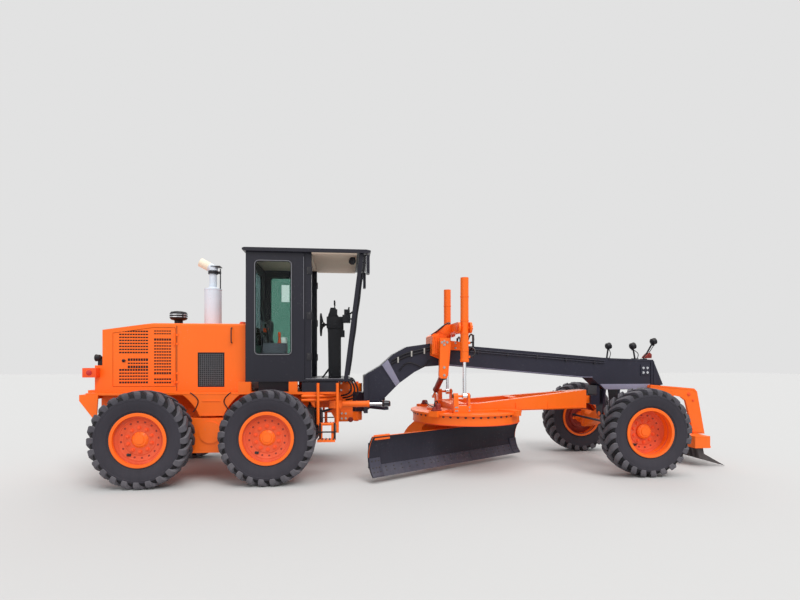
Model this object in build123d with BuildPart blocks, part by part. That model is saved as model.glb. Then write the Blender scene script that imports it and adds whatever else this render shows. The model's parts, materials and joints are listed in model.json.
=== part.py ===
"""Motor grader: six-wheeled, hinged frame, angled blade under the front beam, scarifier ahead of the nose.

Millimetres, +X forward, +Y to the machine's left, +Z up, the ground at Z = 0 under the middle of the machine.
Lengths along the machine are stations, counted from the middle axle, which stands at X = MID_X.
"""
from build123d import *
from math import cos, hypot, radians, sin
import os

os.makedirs("parts", exist_ok=True)

# ---------------------------------------------------------------- sizes
MID_X = -2221.0        # X of the middle axle
GAP = 0.3              # between pieces that seat on each other
PIN_FIT = 0.05         # radial clearance of a pin or shaft in its bore

# running gear
TANDEM = 1615.0        # rear axle to middle axle
FRONT_X = 5343.0       # station of the front axle
TYRE_R = 635.0
TYRE_W = 350.0
TRACK = 2000.0         # between tyre centre planes
RIM_R = 330.0          # outside of the rim barrel
FLANGE_R = 350.0
RIM_W = 300.0
STUB_R = 60.0          # axle stubs, which the hubs turn on
HUB_R = 105.0

# rear frame
RAIL_Y = 280.0         # centre of each rail
RAIL_W = 100.0
RAIL_Z0 = 960.0
RAIL_Z1 = 1190.0
DECK_T = 30.0
DECK_Y = TRACK / 2 - 250        # half width of the deck
DECK_Z = RAIL_Z1 + DECK_T
DECK_BACK = -2450.0
DECK_FRONT = 930.0
SKIRT_T = 40.0
TOW_R = 20.0           # tow pin hole in the rear bumper
WHEEL_CLEAR = 700.0    # radius kept free round each rear wheel

# frame hinge
HINGE_X = 1200.0
HINGE_PIN_R = 35.0
HINGE_EYE_R = 90.0
EAR_LOW = (735.0, 870.0)       # bottom and top of the lower ear
EAR_HIGH = (1180.0, 1310.0)

# hood
HOOD_Y = 550.0
HOOD_T = 20.0
HOOD_BACK = -2330.0
HOOD_FRONT = -377.0
HOOD_TOP = 2190.0
HOOD_TAIL = 2090.0             # top of the hood at its rear face
HOOD_KNEE = -1650.0            # where the slope begins
DOOR_BACK = HOOD_BACK + 135
DOOR_FRONT = -1351.0
DOOR_Z0 = 1296.0
DOOR_TOP_DROP = 62.0           # door top below the hood top
DOOR_GAP = 6.0
DOOR_T = 25.0
DOOR_PIN_R = 6.0
DOOR_BARREL_R = 13.0
DOOR_BARRELS = (1420.0, 1960.0)
DOOR_BARREL_L = 90.0

# cab
CAB_Y = 700.0
CAB_T = 30.0
CAB_BACK = -357.0
CAB_SIDE_FRONT = 452.0
CAB_POST = 98.0                # door post ahead of the side panel
FLOOR_Z = 1400.0
FLOOR_T = 35.0
FLOOR_FRONT = 1100.0
ROOF_Z0 = 3190.0
ROOF_Z1 = 3240.0
ROOF_Y = 750.0
ROOF_BACK = -400.0
ROOF_FRONT = 1390.0
SCREEN_FOOT = 1067.0           # windscreen frame: station at the floor and at the roof
SCREEN_HEAD = 1293.0
SCREEN_T = 60.0
SCREEN_BAR = 70.0
WINDOW = (-233.0, 272.0, 1748.0, 3067.0)
GLASS_T = 8.0

# front frame
BEAM_Y = 170.0
BEAM_TOP = ((1310, 1430), (1576, 1589), (1764, 1760), (1978, 1878), (2364, 1933), (3100, 1882), (5270, 1705), (6040, 1680))
NOSE = ((6210, 1275), (5990, 1195), (5210, 1195), (4990, 1388))
BEAM_FOOT = ((4850, 1389), (3100, 1543), (2559, 1592), (2266, 1569), (2100, 1485), (1857, 1310), (1644, 1094), (1310, 860))
SCAR_X, SCAR_Z = 5960.0, 1240.0        # scarifier hinge
SCAR_PIN_R = 28.0
REAR_PLATE_T = 60.0
REAR_PLATE_Y = 250.0

# drawbar, circle and blade
DRAW_X = 5030.0                # drawbar hinge
DRAW_Z = 1030.0
CIRCLE_X = 2950.0
CIRCLE_R = 877.0
CIRCLE_RING_R = 840.0
CIRCLE_BORE = 560.0
CIRCLE_TOP = 890.0
FLANGE_T = 28.0
CIRCLE_FOOT = 715.0
BLADE_ANGLE = 31.3             # of the blade's length from the machine's length
BLADE_L = 3080.0
BLADE_NEAR = 1920.0            # right end of the blade from the circle's centre
BLADE_FRONT = 176.0            # cutting edge ahead of the circle's centre
BLADE_FOOT = 85.0
BLADE_TOP = 630.0
BLADE_SAG = 107.0
BLADE_T = 20.0
ARM_A = 760.0                  # blade arms each side of the circle's centre
ARM_T = 45.0
PIVOT_N = -38.0                # blade pivot shaft: ahead of the circle's centre, height
PIVOT_Z = 330.0
PIVOT_R = 40.0
RAIL_S = 40.0                  # slide bars behind the blade
RAIL_N = 22.0
RAIL_ZS = (210.0, 500.0)

# cylinders
FRAME_CYL_Y = 500.0
FRAME_CYL_Z = 1025.0
FRAME_CYL = (940.0, 1630.0)    # stations of the two ends
FRAME_PIN_R = 20.0
EYE_SLACK = 16.0               # the frame rod's eye is wider than its pin by this radius
LIFT_X = 2785.0
LIFT_Y = 600.0
LIFT_PIN_Z = 1135.0
TRUNNION_Z = 2150.0
LIFT_BARREL_R = 60.0
LIFT_BARREL = (1640.0, 2890.0)
LIFT_ROD_R = 26.0
CS_TOP = (2500.0, -390.0, 1440.0)      # centre-shift cylinder: hinge on the hanging arm
CS_FOOT = (2500.0, 400.0, 1075.0)      # and its eye over the drawbar
CS_PIN_R = 15.0
CS_LUG_GAP = 3.0               # eye to the lug ahead of it, which leans as the drawbar rises
CS_LEN = hypot(CS_FOOT[1] - CS_TOP[1], CS_FOOT[2] - CS_TOP[2])
ROD_SLACK = 2.0                # rod to the inside of its barrel
GLAND_L = 40.0                 # the gland at the barrel's mouth, where the rod runs close
BARREL_R = 45.0                # frame and centre-shift cylinders
ROD_R = 22.0


def side(y=0.0):
    """Plane seen from the machine's right: X is the station, Y the height."""
    return Plane(origin=(MID_X, y, 0), x_dir=(1, 0, 0), z_dir=(0, -1, 0))


def level(z=0.0):
    """Plane seen from above: X is the station, Y is to the left."""
    return Plane(origin=(MID_X, 0, z), x_dir=(1, 0, 0), z_dir=(0, 0, 1))


def across(x=0.0):
    """Plane seen from ahead: X is to the left, Y the height."""
    return Plane(origin=(MID_X + x, 0, 0), x_dir=(0, 1, 0), z_dir=(1, 0, 0))


def slab(x0, x1, y0, y1, z0, z1, mode=Mode.ADD):
    """Plain rectangular piece between two stations, two sides and two heights."""
    with Locations((MID_X + (x0 + x1) / 2, (y0 + y1) / 2, (z0 + z1) / 2)):
        Box(x1 - x0, y1 - y0, z1 - z0, mode=mode)


def rod(start, end, radius, mode=Mode.ADD):
    """Round bar between two points given as (station, y, z)."""
    a, b = Vector(MID_X + start[0], start[1], start[2]), Vector(MID_X + end[0], end[1], end[2])
    with Locations(Plane(origin=a, z_dir=b - a)):
        Cylinder(radius, (b - a).length, align=(Align.CENTER, Align.CENTER, Align.MIN), mode=mode)


def outline(points):
    """Face from a short list of (x, y) corners, inside a BuildSketch."""
    Polygon(*points, align=None)


def outline_cut(points):
    """Cuts a face with these (x, y) corners, inside a BuildSketch."""
    Polygon(*points, align=None, mode=Mode.SUBTRACT)


def save(piece, label):
    piece.part.label = label
    export_step(piece.part, f"parts/{label}.step")


# ---------------------------------------------------------------- wheels
# name, station, side (+1 left), disc place out from the rim's middle plane, hub nose place
WHEELS = (
    ("rear_left", -TANDEM, 1, 50, 90),
    ("rear_right", -TANDEM, -1, 50, 90),
    ("mid_left", 0, 1, 50, 90),
    ("mid_right", 0, -1, 50, 90),
    ("front_left", FRONT_X, 1, -60, 10),
    ("front_right", FRONT_X, -1, -60, 10),
)
DISC_T = 18.0
HUB_FOOT = -110.0      # inner end of every hub, from the rim's middle plane
STUB_END_WALL = 25.0   # hub cap over the end of the stub

LUGS = 24
LUG_PITCH = 360 / LUGS
LUG_H = 34.0
LUG_TIP_R = TYRE_R / cos(radians(LUG_PITCH / 4))       # corners of the lugs, whose flat tops stand on the ground
# half section of the flat-sided tyre: distance from its middle plane, radius of the corners
SIDEWALL = ((158, 545), (175, 470), (128, (RIM_R + GAP) / cos(radians(LUG_PITCH / 2))))


def ring_plane(centre, y):
    """Plane across the wheel's axle."""
    return Plane(origin=(centre[0], centre[1] + y, centre[2]), x_dir=(1, 0, 0), z_dir=(0, 1, 0))


def ring_cone(centre, start, end, mode=Mode.ADD):
    """Flat-sided cone between two polygons given as (distance from the middle plane, radius)."""
    angles = [radians(i * LUG_PITCH) for i in range(LUGS)]
    rings = []
    for y, r in (start, end):
        plane = ring_plane(centre, y)
        rings.append([plane.from_local_coords((r * cos(a), r * sin(a), 0)) for a in angles])
    sides = [(rings[0][i - 1], rings[0][i], rings[1][i], rings[1][i - 1]) for i in range(LUGS)]
    faces = [Face(Wire.make_polygon(corners, close=True)) for corners in (*sides, *rings)]
    add(Solid(Shell(faces)), mode=mode)


def tread_outline(phase):
    """Lugs and gaps of equal length round the tread."""
    points = []
    for i in range(LUGS):
        middle = i * LUG_PITCH + phase
        for step, r in ((-1.18, TYRE_R - LUG_H), (-1, LUG_TIP_R), (1, LUG_TIP_R), (1.18, TYRE_R - LUG_H)):
            a = radians(middle + step * LUG_PITCH / 4)
            points.append((r * cos(a), r * sin(a)))
    return points


for name, x, s, disc, nose in WHEELS:
    centre = (MID_X + x, s * TRACK / 2, TYRE_R)
    spin = Axis(centre, (0, 1, 0))
    section = Plane(origin=centre, x_dir=(0, s, 0), z_dir=(s, 0, 0))  # X out along the axle, Y up the radius

    with BuildPart() as tyre:
        (shoulder_y, shoulder_r), (bulge_y, bulge_r), (bead_y, bore_r) = SIDEWALL
        # the two halves of the tread, with their lugs half a pitch apart, and the shoulders outside them
        for t, phase in ((-1, 0), (1, LUG_PITCH / 2)):
            with BuildSketch(ring_plane(centre, 0)):
                outline(tread_outline(phase))
            extrude(amount=t * shoulder_y)
            ring_cone(centre, (t * shoulder_y, shoulder_r), (t * bulge_y, bulge_r))
        # hollow sides down to the beads, and the bore that holds the rim
        for t in (-1, 1):
            ring_cone(centre, (t * bulge_y, bulge_r), (t * bead_y, bore_r), mode=Mode.SUBTRACT)
        with BuildSketch(ring_plane(centre, -TYRE_W)):
            RegularPolygon(bore_r, LUGS)
        extrude(amount=2 * TYRE_W, mode=Mode.SUBTRACT)
    save(tyre, f"tyre_{name}")

    with BuildPart() as rim:
        with BuildSketch(section):
            half = RIM_W / 2
            outline(((-half, RIM_R - 16), (-half, FLANGE_R), (15 - half, FLANGE_R), (15 - half, RIM_R), (half - 15, RIM_R),
                     (half - 15, FLANGE_R), (half, FLANGE_R), (half, RIM_R - 16)))
            outline(((disc + 25, RIM_R - 10), (disc + 25 + DISC_T, RIM_R - 10), (disc + DISC_T, 210), (disc + DISC_T, HUB_R - 5),
                     (disc, HUB_R - 5), (disc, 205)))
            outline(((HUB_FOOT, 0), (HUB_FOOT, HUB_R), (nose - 20, HUB_R), (nose, HUB_R - 25), (nose, 0)))
        revolve(axis=spin)
        with BuildSketch(section):
            outline(((HUB_FOOT, 0), (HUB_FOOT, STUB_R + PIN_FIT), (nose - STUB_END_WALL, STUB_R + PIN_FIT), (nose - STUB_END_WALL, 0)))
        revolve(axis=spin, mode=Mode.SUBTRACT)
    save(rim, f"rim_{name}")

# ---------------------------------------------------------------- rear frame
SKIRTS = ((-1300, -300, 900), (400, 600, 940))         # start, end, foot of each side skirt
MOUNTS = ((-450, -280), (240, 360))                     # cab mounts: start, end
MOUNT_TOP = FLOOR_Z - FLOOR_T - GAP
BULK_X = 760.0                                          # the tail behind the hinge ears
TAIL_Y = RAIL_Y - RAIL_W / 2 - GAP
WEB_FRONT = HINGE_X - 60                                # the web reaches round the front frame's tongue
RAIL_CROSS = (-2300.0, -1250.0, 100.0)                  # cross-members between the rails
AXLE_R = 150.0
RUMP = (-2430.0, HOOD_BACK - GAP, 1595.0)               # weight behind the hood: back, front, top
AXLE_X = -TANDEM / 2
AXLE_Z = 700.0

with BuildPart() as rear_frame:
    for s in (-1, 1):
        slab(DECK_BACK, BULK_X + 200, s * RAIL_Y - RAIL_W / 2, s * RAIL_Y + RAIL_W / 2, RAIL_Z0, RAIL_Z1)
        # saddle down to the axle housing
        slab(AXLE_X - 150, AXLE_X + 150, s * RAIL_Y - RAIL_W / 2, s * RAIL_Y + RAIL_W / 2, AXLE_Z + 60, RAIL_Z0)
        with Locations(Location((MID_X + AXLE_X, s * RAIL_Y, AXLE_Z), (90, 0, 0))):
            Cylinder(AXLE_R + GAP, RAIL_W, mode=Mode.SUBTRACT)
    for x in RAIL_CROSS:
        slab(x, x + 80, -RAIL_Y, RAIL_Y, RAIL_Z0 + 40, RAIL_Z1 - 40)
save(rear_frame, "rear_frame")

with BuildPart() as deck:
    slab(DECK_BACK, DECK_FRONT, -DECK_Y, DECK_Y, RAIL_Z1 + GAP, DECK_Z)
    for x0, x1, foot in SKIRTS:
        with BuildSketch(side(DECK_Y)) as skirt:
            outline(((x0, foot), (x1, foot), (x1, DECK_Z - 10), (x0, DECK_Z - 10)))
            with Locations((-TANDEM, TYRE_R), (0, TYRE_R)):
                Circle(WHEEL_CLEAR, mode=Mode.SUBTRACT)
        extrude(amount=SKIRT_T)
        with BuildSketch(side(-DECK_Y)):
            add(skirt.sketch_local)
        extrude(amount=-SKIRT_T)
    for y0, y1 in ((-DECK_Y, 70 - DECK_Y), (DECK_Y - 70, DECK_Y)):
        for x0, x1 in MOUNTS:
            slab(x0, x1, y0, y1, DECK_Z, MOUNT_TOP)
save(deck, "deck")

with BuildPart() as frame_tail:
    # a deep web between the rails that ends in two ears round the hinge pin
    with BuildSketch(side()):
        outline(((BULK_X, RAIL_Z0), (BULK_X + 140, EAR_LOW[0]), (WEB_FRONT, EAR_LOW[0]), (WEB_FRONT, EAR_HIGH[1]),
                 (DECK_FRONT + GAP, EAR_HIGH[1]), (DECK_FRONT + GAP, RAIL_Z1), (BULK_X, RAIL_Z1)))
    extrude(amount=TAIL_Y, both=True)
    rod((HINGE_X, 0, EAR_LOW[1]), (HINGE_X, 0, EAR_HIGH[0]), HINGE_EYE_R + 8, mode=Mode.SUBTRACT)
    for z0, z1 in (EAR_LOW, EAR_HIGH):
        with BuildSketch(level(z0)):
            outline(((1000, -TAIL_Y), (1060, -TAIL_Y), (HINGE_X, -HINGE_EYE_R), (HINGE_X, HINGE_EYE_R), (1060, TAIL_Y), (1000, TAIL_Y)))
            with Locations((HINGE_X, 0)):
                Circle(HINGE_EYE_R)
        extrude(amount=z1 - z0)
    rod((HINGE_X, 0, EAR_LOW[0] - 20), (HINGE_X, 0, EAR_HIGH[1] + 25), HINGE_PIN_R)
    # brackets on the rails for the frame cylinders
    for s in (-1, 1):
        inner, outer = RAIL_Y + RAIL_W / 2 + GAP, FRAME_CYL_Y + 60
        slab(800, 890, *sorted((s * inner, s * outer)), 970, 1080)
        for z0, z1 in ((970, 989), (1061, 1080)):
            slab(880, FRAME_CYL[0] + 32, s * FRAME_CYL_Y - 45, s * FRAME_CYL_Y + 45, z0, z1)
        rod((FRAME_CYL[0], s * FRAME_CYL_Y, 975), (FRAME_CYL[0], s * FRAME_CYL_Y, 1075), FRAME_PIN_R)
save(frame_tail, "frame_tail")

with BuildPart() as rear_bumper:
    # weight block behind the hood, corner wings and the beam with the tow pin hole
    slab(RUMP[0], RUMP[1], -HOOD_Y, HOOD_Y, DECK_Z + GAP, RUMP[2])
    for y in (-DECK_Y - GAP, DECK_Y + 20 + GAP):
        with BuildSketch(side(y)):
            outline(((-2520, RAIL_Z1 + 10), (-2280, RAIL_Z1 + 10), (-2300, 890), (-2350, 890), (-2520, 1120)))
        extrude(amount=20)
    slab(-2520, DECK_BACK - GAP, -DECK_Y - 20, DECK_Y + 20, 1120, RAIL_Z1 + 10)
    slab(-2520, RUMP[0] + 20, -HOOD_Y, HOOD_Y, DECK_Z + GAP, DECK_Z + 30)
    slab(-2520, DECK_BACK - GAP, -HOOD_Y, HOOD_Y, RAIL_Z1, DECK_Z + 30)
    rod((-2485, 0, 1119), (-2485, 0, DECK_Z + 31), TOW_R, mode=Mode.SUBTRACT)
save(rear_bumper, "rear_bumper")

# ---------------------------------------------------------------- rear drive: axle housing, wheel cases and stubs
CASE_R = 235.0
CASE_Y = (TRACK / 2 - 410, TRACK / 2 - 205)

with BuildPart() as tandem_drive:
    with BuildSketch(Plane(origin=(MID_X + AXLE_X, 0, AXLE_Z), x_dir=(1, 0, 0), z_dir=(0, 1, 0))):
        Circle(AXLE_R)
    extrude(amount=CASE_Y[0] + 10, both=True)
    for s in (-1, 1):
        with BuildSketch(side(s * CASE_Y[0])):
            with Locations((AXLE_X, TYRE_R)):
                SlotCenterToCenter(TANDEM, 2 * CASE_R)
        extrude(amount=-s * (CASE_Y[1] - CASE_Y[0]))
        for x in (-TANDEM, 0):
            rod((x, s * (CASE_Y[1] - 10), TYRE_R), (x, s * (TRACK / 2 + 90 - STUB_END_WALL - 10), TYRE_R), STUB_R)
            rod((x, s * (CASE_Y[1] - 10), TYRE_R), (x, s * (CASE_Y[1] + 70), TYRE_R), HUB_R)
        rod((AXLE_X, s * (CASE_Y[1] - 10), AXLE_Z - 20), (AXLE_X, s * (CASE_Y[1] + 15), AXLE_Z - 20), 150)
save(tandem_drive, "tandem_drive")

# ---------------------------------------------------------------- hood
def hood_top(x):
    """Height of the hood's upper edge at a station."""
    if x > HOOD_KNEE:
        return HOOD_TOP
    return HOOD_TAIL + (HOOD_TOP - HOOD_TAIL) * (x - HOOD_BACK) / (HOOD_KNEE - HOOD_BACK)


def door_outline(gap):
    """Corners of the door opening, drawn in by a gap."""
    x0, x1 = DOOR_BACK + gap, DOOR_FRONT - gap
    top = [(x1, HOOD_TOP - DOOR_TOP_DROP - gap), (HOOD_KNEE, HOOD_TOP - DOOR_TOP_DROP - gap), (x0, hood_top(x0) - DOOR_TOP_DROP - gap)]
    return [(x0, DOOR_Z0 + gap), (x1, DOOR_Z0 + gap), *top]


HOOD_FOOT = DECK_Z + GAP
GRILLE = (-1050.0, -682.0, 1287.0, 1778.0)      # black side grille: start, end, foot, top
REAR_GRILLE = (430.0, 1650.0, 2020.0)           # half width, foot, top
GRILLE_PITCH = 30.0                             # bars of the rear grille
GRILLE_BAR = 12.0
HOOD_PROFILE = ((HOOD_BACK, HOOD_FOOT), (HOOD_BACK, HOOD_TAIL), (HOOD_KNEE, HOOD_TOP), (HOOD_FRONT, HOOD_TOP), (HOOD_FRONT, HOOD_FOOT))
DOOR_AXIS_X = DOOR_FRONT - 8
DOOR_AXIS_Y = HOOD_Y + DOOR_BARREL_R

with BuildPart() as hood:
    with BuildSketch(side()):
        outline(HOOD_PROFILE)
    extrude(amount=HOOD_Y, both=True)
    fillet(hood.edges().filter_by(Axis.X).group_by(Axis.Z)[-1], 35)
    with BuildSketch(side()):
        x0, x1 = HOOD_BACK + HOOD_T, HOOD_FRONT - HOOD_T
        outline(((x0, HOOD_FOOT - 1), (x0, HOOD_TAIL - HOOD_T), (HOOD_KNEE, HOOD_TOP - HOOD_T), (x1, HOOD_TOP - HOOD_T), (x1, HOOD_FOOT - 1)))
    extrude(amount=HOOD_Y - HOOD_T, both=True, mode=Mode.SUBTRACT)
    with BuildSketch(side()):
        outline(door_outline(0))
        outline(((GRILLE[0], GRILLE[2]), (GRILLE[1], GRILLE[2]), (GRILLE[1], GRILLE[3]), (GRILLE[0], GRILLE[3])))
    extrude(amount=HOOD_Y + 1, both=True, mode=Mode.SUBTRACT)
    half, foot, top = REAR_GRILLE
    slab(HOOD_BACK - 1, HOOD_BACK + HOOD_T + 1, -half, half, foot, top, mode=Mode.SUBTRACT)
    for s in (-1, 1):
        for z in DOOR_BARRELS:
            for z0 in (z - DOOR_BARREL_L / 2 - 32, z + DOOR_BARREL_L / 2 + 2):
                rod((DOOR_AXIS_X, s * DOOR_AXIS_Y, z0), (DOOR_AXIS_X, s * DOOR_AXIS_Y, z0 + 30), DOOR_BARREL_R)
                y0, y1 = sorted((s * HOOD_Y, s * (HOOD_Y + 7)))
                slab(DOOR_AXIS_X, DOOR_FRONT + 40, y0, y1, z0, z0 + 30)
            rod((DOOR_AXIS_X, s * DOOR_AXIS_Y, z - DOOR_BARREL_L / 2 - 20), (DOOR_AXIS_X, s * DOOR_AXIS_Y, z + DOOR_BARREL_L / 2 + 20), DOOR_PIN_R)
save(hood, "hood")

# slatted fields of the doors: start, end, foot, top
DOOR_FIELDS = (
    (-2110.0, -1723.0, 1763.0, 2082.0),
    (-1995.0, -1723.0, 1555.0, 1692.0),
    (-2110.0, -1723.0, 1342.0, 1545.0),
    (-1643.0, -1413.0, 1468.0, 1973.0),
    (-1643.0, -1413.0, 2031.0, 2085.0),
    (-1643.0, -1413.0, 1341.0, 1412.0),
)
FIELD_DEPTH = 9.0
SLAT_PITCH = 42.0
SLAT_H = 22.0

for label, s in (("hood_door_left", 1), ("hood_door_right", -1)):
    with BuildPart() as door:
        with BuildSketch(side(s * HOOD_Y)):
            outline(door_outline(DOOR_GAP))
        extrude(amount=s * DOOR_T)
        for x0, x1, z0, z1 in DOOR_FIELDS:
            slats = int((z1 - z0 - 12) / SLAT_PITCH)
            foot = (z0 + z1 - slats * SLAT_PITCH + SLAT_PITCH - SLAT_H) / 2
            with BuildSketch(side(s * HOOD_Y)):
                outline(((x0, z0), (x1, z0), (x1, z1), (x0, z1)))
                for i in range(slats):
                    z = foot + i * SLAT_PITCH
                    outline_cut(((x0 - 1, z), (x1 + 1, z), (x1 + 1, z + SLAT_H), (x0 - 1, z + SLAT_H)))
            extrude(amount=s * FIELD_DEPTH, mode=Mode.SUBTRACT)
        for z in DOOR_BARRELS:
            rod((DOOR_AXIS_X, s * DOOR_AXIS_Y, z - DOOR_BARREL_L / 2), (DOOR_AXIS_X, s * DOOR_AXIS_Y, z + DOOR_BARREL_L / 2), DOOR_BARREL_R)
            y0, y1 = sorted((s * (HOOD_Y - 5), s * (HOOD_Y + 7)))
            slab(DOOR_AXIS_X - 50, DOOR_AXIS_X - 6, y0, y1, z - DOOR_BARREL_L / 2, z + DOOR_BARREL_L / 2)
            rod((DOOR_AXIS_X, s * DOOR_AXIS_Y, z - DOOR_BARREL_L), (DOOR_AXIS_X, s * DOOR_AXIS_Y, z + DOOR_BARREL_L), DOOR_PIN_R + PIN_FIT, mode=Mode.SUBTRACT)
    save(door, label)

with BuildPart() as hood_grilles:
    half, foot, top = REAR_GRILLE
    slab(HOOD_BACK + 10, HOOD_BACK + HOOD_T, GAP - half, half - GAP, foot + GAP, top - GAP)
    count = int((top - foot - 30) / GRILLE_PITCH)
    for i in range(count):
        z = foot + 20 + i * GRILLE_PITCH
        slab(HOOD_BACK, HOOD_BACK + 11, GAP - half, half - GAP, z, z + GRILLE_BAR)
    for s in (-1, 1):
        slab(GRILLE[0] + GAP, GRILLE[1] - GAP, *sorted((s * (HOOD_Y - 15), s * (HOOD_Y - 8))), GRILLE[2] + GAP, GRILLE[3] - GAP)
        y0, y1 = sorted((s * (HOOD_Y - 9), s * HOOD_Y))
        for x0, x1, z0, z1 in (
            (GRILLE[0] + GAP, GRILLE[1] - GAP, GRILLE[2] + GAP, GRILLE[2] + 18),
            (GRILLE[0] + GAP, GRILLE[1] - GAP, GRILLE[3] - 18, GRILLE[3] - GAP),
            (GRILLE[0] + GAP, GRILLE[0] + 18, GRILLE[2] + GAP, GRILLE[3] - GAP),
            (GRILLE[1] - 18, GRILLE[1] - GAP, GRILLE[2] + GAP, GRILLE[3] - GAP),
        ):
            slab(x0, x1, y0, y1, z0, z1)
        y0, y1 = sorted((s * (HOOD_Y - 9), s * (HOOD_Y - 3)))
        for i in range(1, 9):
            x = GRILLE[0] + i * (GRILLE[1] - GRILLE[0]) / 9
            slab(x - 3, x + 3, y0, y1, GRILLE[2] + 10, GRILLE[3] - 10)
        for i in range(1, 12):
            z = GRILLE[2] + i * (GRILLE[3] - GRILLE[2]) / 12
            slab(GRILLE[0] + 10, GRILLE[1] - 10, y0, y1, z - 3, z + 3)
save(hood_grilles, "hood_grilles")

with BuildPart() as engine_block:
    slab(-1750, -850, -250, 250, DECK_Z + GAP, 1780)
save(engine_block, "engine_block")

# ---------------------------------------------------------------- stacks on the hood
with BuildPart() as exhaust:
    rod((-987, 0, HOOD_TOP + GAP), (-987, 0, 2760), 125)
    rod((-987, 0, 2760), (-987, 0, 3060), 55)
    # short elbow that throws the gases back
    rod((-987, 0, 3040), (-987, 0, 3095), 70)
    rod((-960, 0, 3050), (-1175, 0, 3165), 66)
    rod((-1000, 0, 3072), (-1176, 0, 3166), 56, mode=Mode.SUBTRACT)
save(exhaust, "exhaust")

with BuildPart() as pre_cleaner:
    with BuildSketch(side()):
        with BuildLine():
            Polyline((-1495, HOOD_TOP + GAP), (-1435, HOOD_TOP + GAP), (-1435, 2270), (-1385, 2285), (-1368, 2310), (-1368, 2370), (-1385, 2400), (-1440, 2412), (-1495, 2412), close=True)
        make_face()
    revolve(axis=Axis((MID_X - 1495, 0, 0), (0, 0, 1)))
save(pre_cleaner, "pre_cleaner")

# ---------------------------------------------------------------- cab
with BuildPart() as cab_floor:
    slab(CAB_BACK, FLOOR_FRONT, -CAB_Y, CAB_Y, FLOOR_Z - FLOOR_T, FLOOR_Z)
save(cab_floor, "cab_floor")

WALL_Z0 = FLOOR_Z + GAP
WALL_Z1 = ROOF_Z0 - GAP

for label, s in (("cab_side_left", 1), ("cab_side_right", -1)):
    with BuildPart() as cab_side:
        with BuildSketch(side(s * CAB_Y)):
            outline(((CAB_BACK, WALL_Z0), (CAB_SIDE_FRONT, WALL_Z0), (CAB_SIDE_FRONT, WALL_Z1), (CAB_BACK, WALL_Z1)))
            x0, x1, z0, z1 = WINDOW
            with Locations(((x0 + x1) / 2, (z0 + z1) / 2)):
                RectangleRounded(x1 - x0, z1 - z0, 55, mode=Mode.SUBTRACT)
        extrude(amount=s * CAB_T)
        y0, y1 = sorted((s * (CAB_Y - 20), s * (CAB_Y - 90)))
        slab(CAB_SIDE_FRONT - 5, CAB_SIDE_FRONT + CAB_POST, y0, y1, WALL_Z0, WALL_Z1)
    save(cab_side, label)

REAR_WINDOW = (440.0, 1900.0, 3040.0)
with BuildPart() as cab_rear:
    half = CAB_Y - CAB_T - GAP
    with BuildSketch(across(CAB_BACK)):
        outline(((-half, WALL_Z0), (half, WALL_Z0), (half, WALL_Z1), (-half, WALL_Z1)))
        with Locations((0, (REAR_WINDOW[1] + REAR_WINDOW[2]) / 2)):
            RectangleRounded(2 * REAR_WINDOW[0], REAR_WINDOW[2] - REAR_WINDOW[1], 55, mode=Mode.SUBTRACT)
    extrude(amount=CAB_T)
save(cab_rear, "cab_rear")

MIRROR = (1330.0, 1375.0, 2905.0, 3165.0)       # back, front, foot, top
with BuildPart() as cab_front:
    with BuildSketch(side()):
        outline(((SCREEN_FOOT - SCREEN_T, WALL_Z0), (SCREEN_FOOT, WALL_Z0), (SCREEN_HEAD, WALL_Z1), (SCREEN_HEAD - SCREEN_T, WALL_Z1)))
    extrude(amount=CAB_Y, both=True)
    with BuildSketch(across(SCREEN_FOOT - 150)):
        with Locations((0, (WALL_Z0 + WALL_Z1) / 2)):
            RectangleRounded(2 * (CAB_Y - SCREEN_BAR), WALL_Z1 - WALL_Z0 - 2 * SCREEN_BAR, 40)
    extrude(amount=500, mode=Mode.SUBTRACT)
    # mirror beside each head of the frame
    for s in (-1, 1):
        slab(1262, MIRROR[0] + 5, *sorted((s * (CAB_Y - 60), s * (CAB_Y - 35))), 3060, 3085)
        slab(MIRROR[0], MIRROR[1], *sorted((s * (CAB_Y - 95), s * (CAB_Y + 35))), MIRROR[2], MIRROR[3])
save(cab_front, "cab_front")

with BuildPart() as cab_roof:
    with BuildSketch(side()):
        outline(((ROOF_BACK, ROOF_Z0 + 15), (CAB_BACK, ROOF_Z0), (ROOF_FRONT - 40, ROOF_Z0), (ROOF_FRONT, ROOF_Z0 + 15), (ROOF_FRONT, ROOF_Z1 - 12), (ROOF_FRONT - 60, ROOF_Z1), (ROOF_BACK + 30, ROOF_Z1), (ROOF_BACK, ROOF_Z1 - 12)))
    extrude(amount=ROOF_Y, both=True)
save(cab_roof, "cab_roof")

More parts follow.
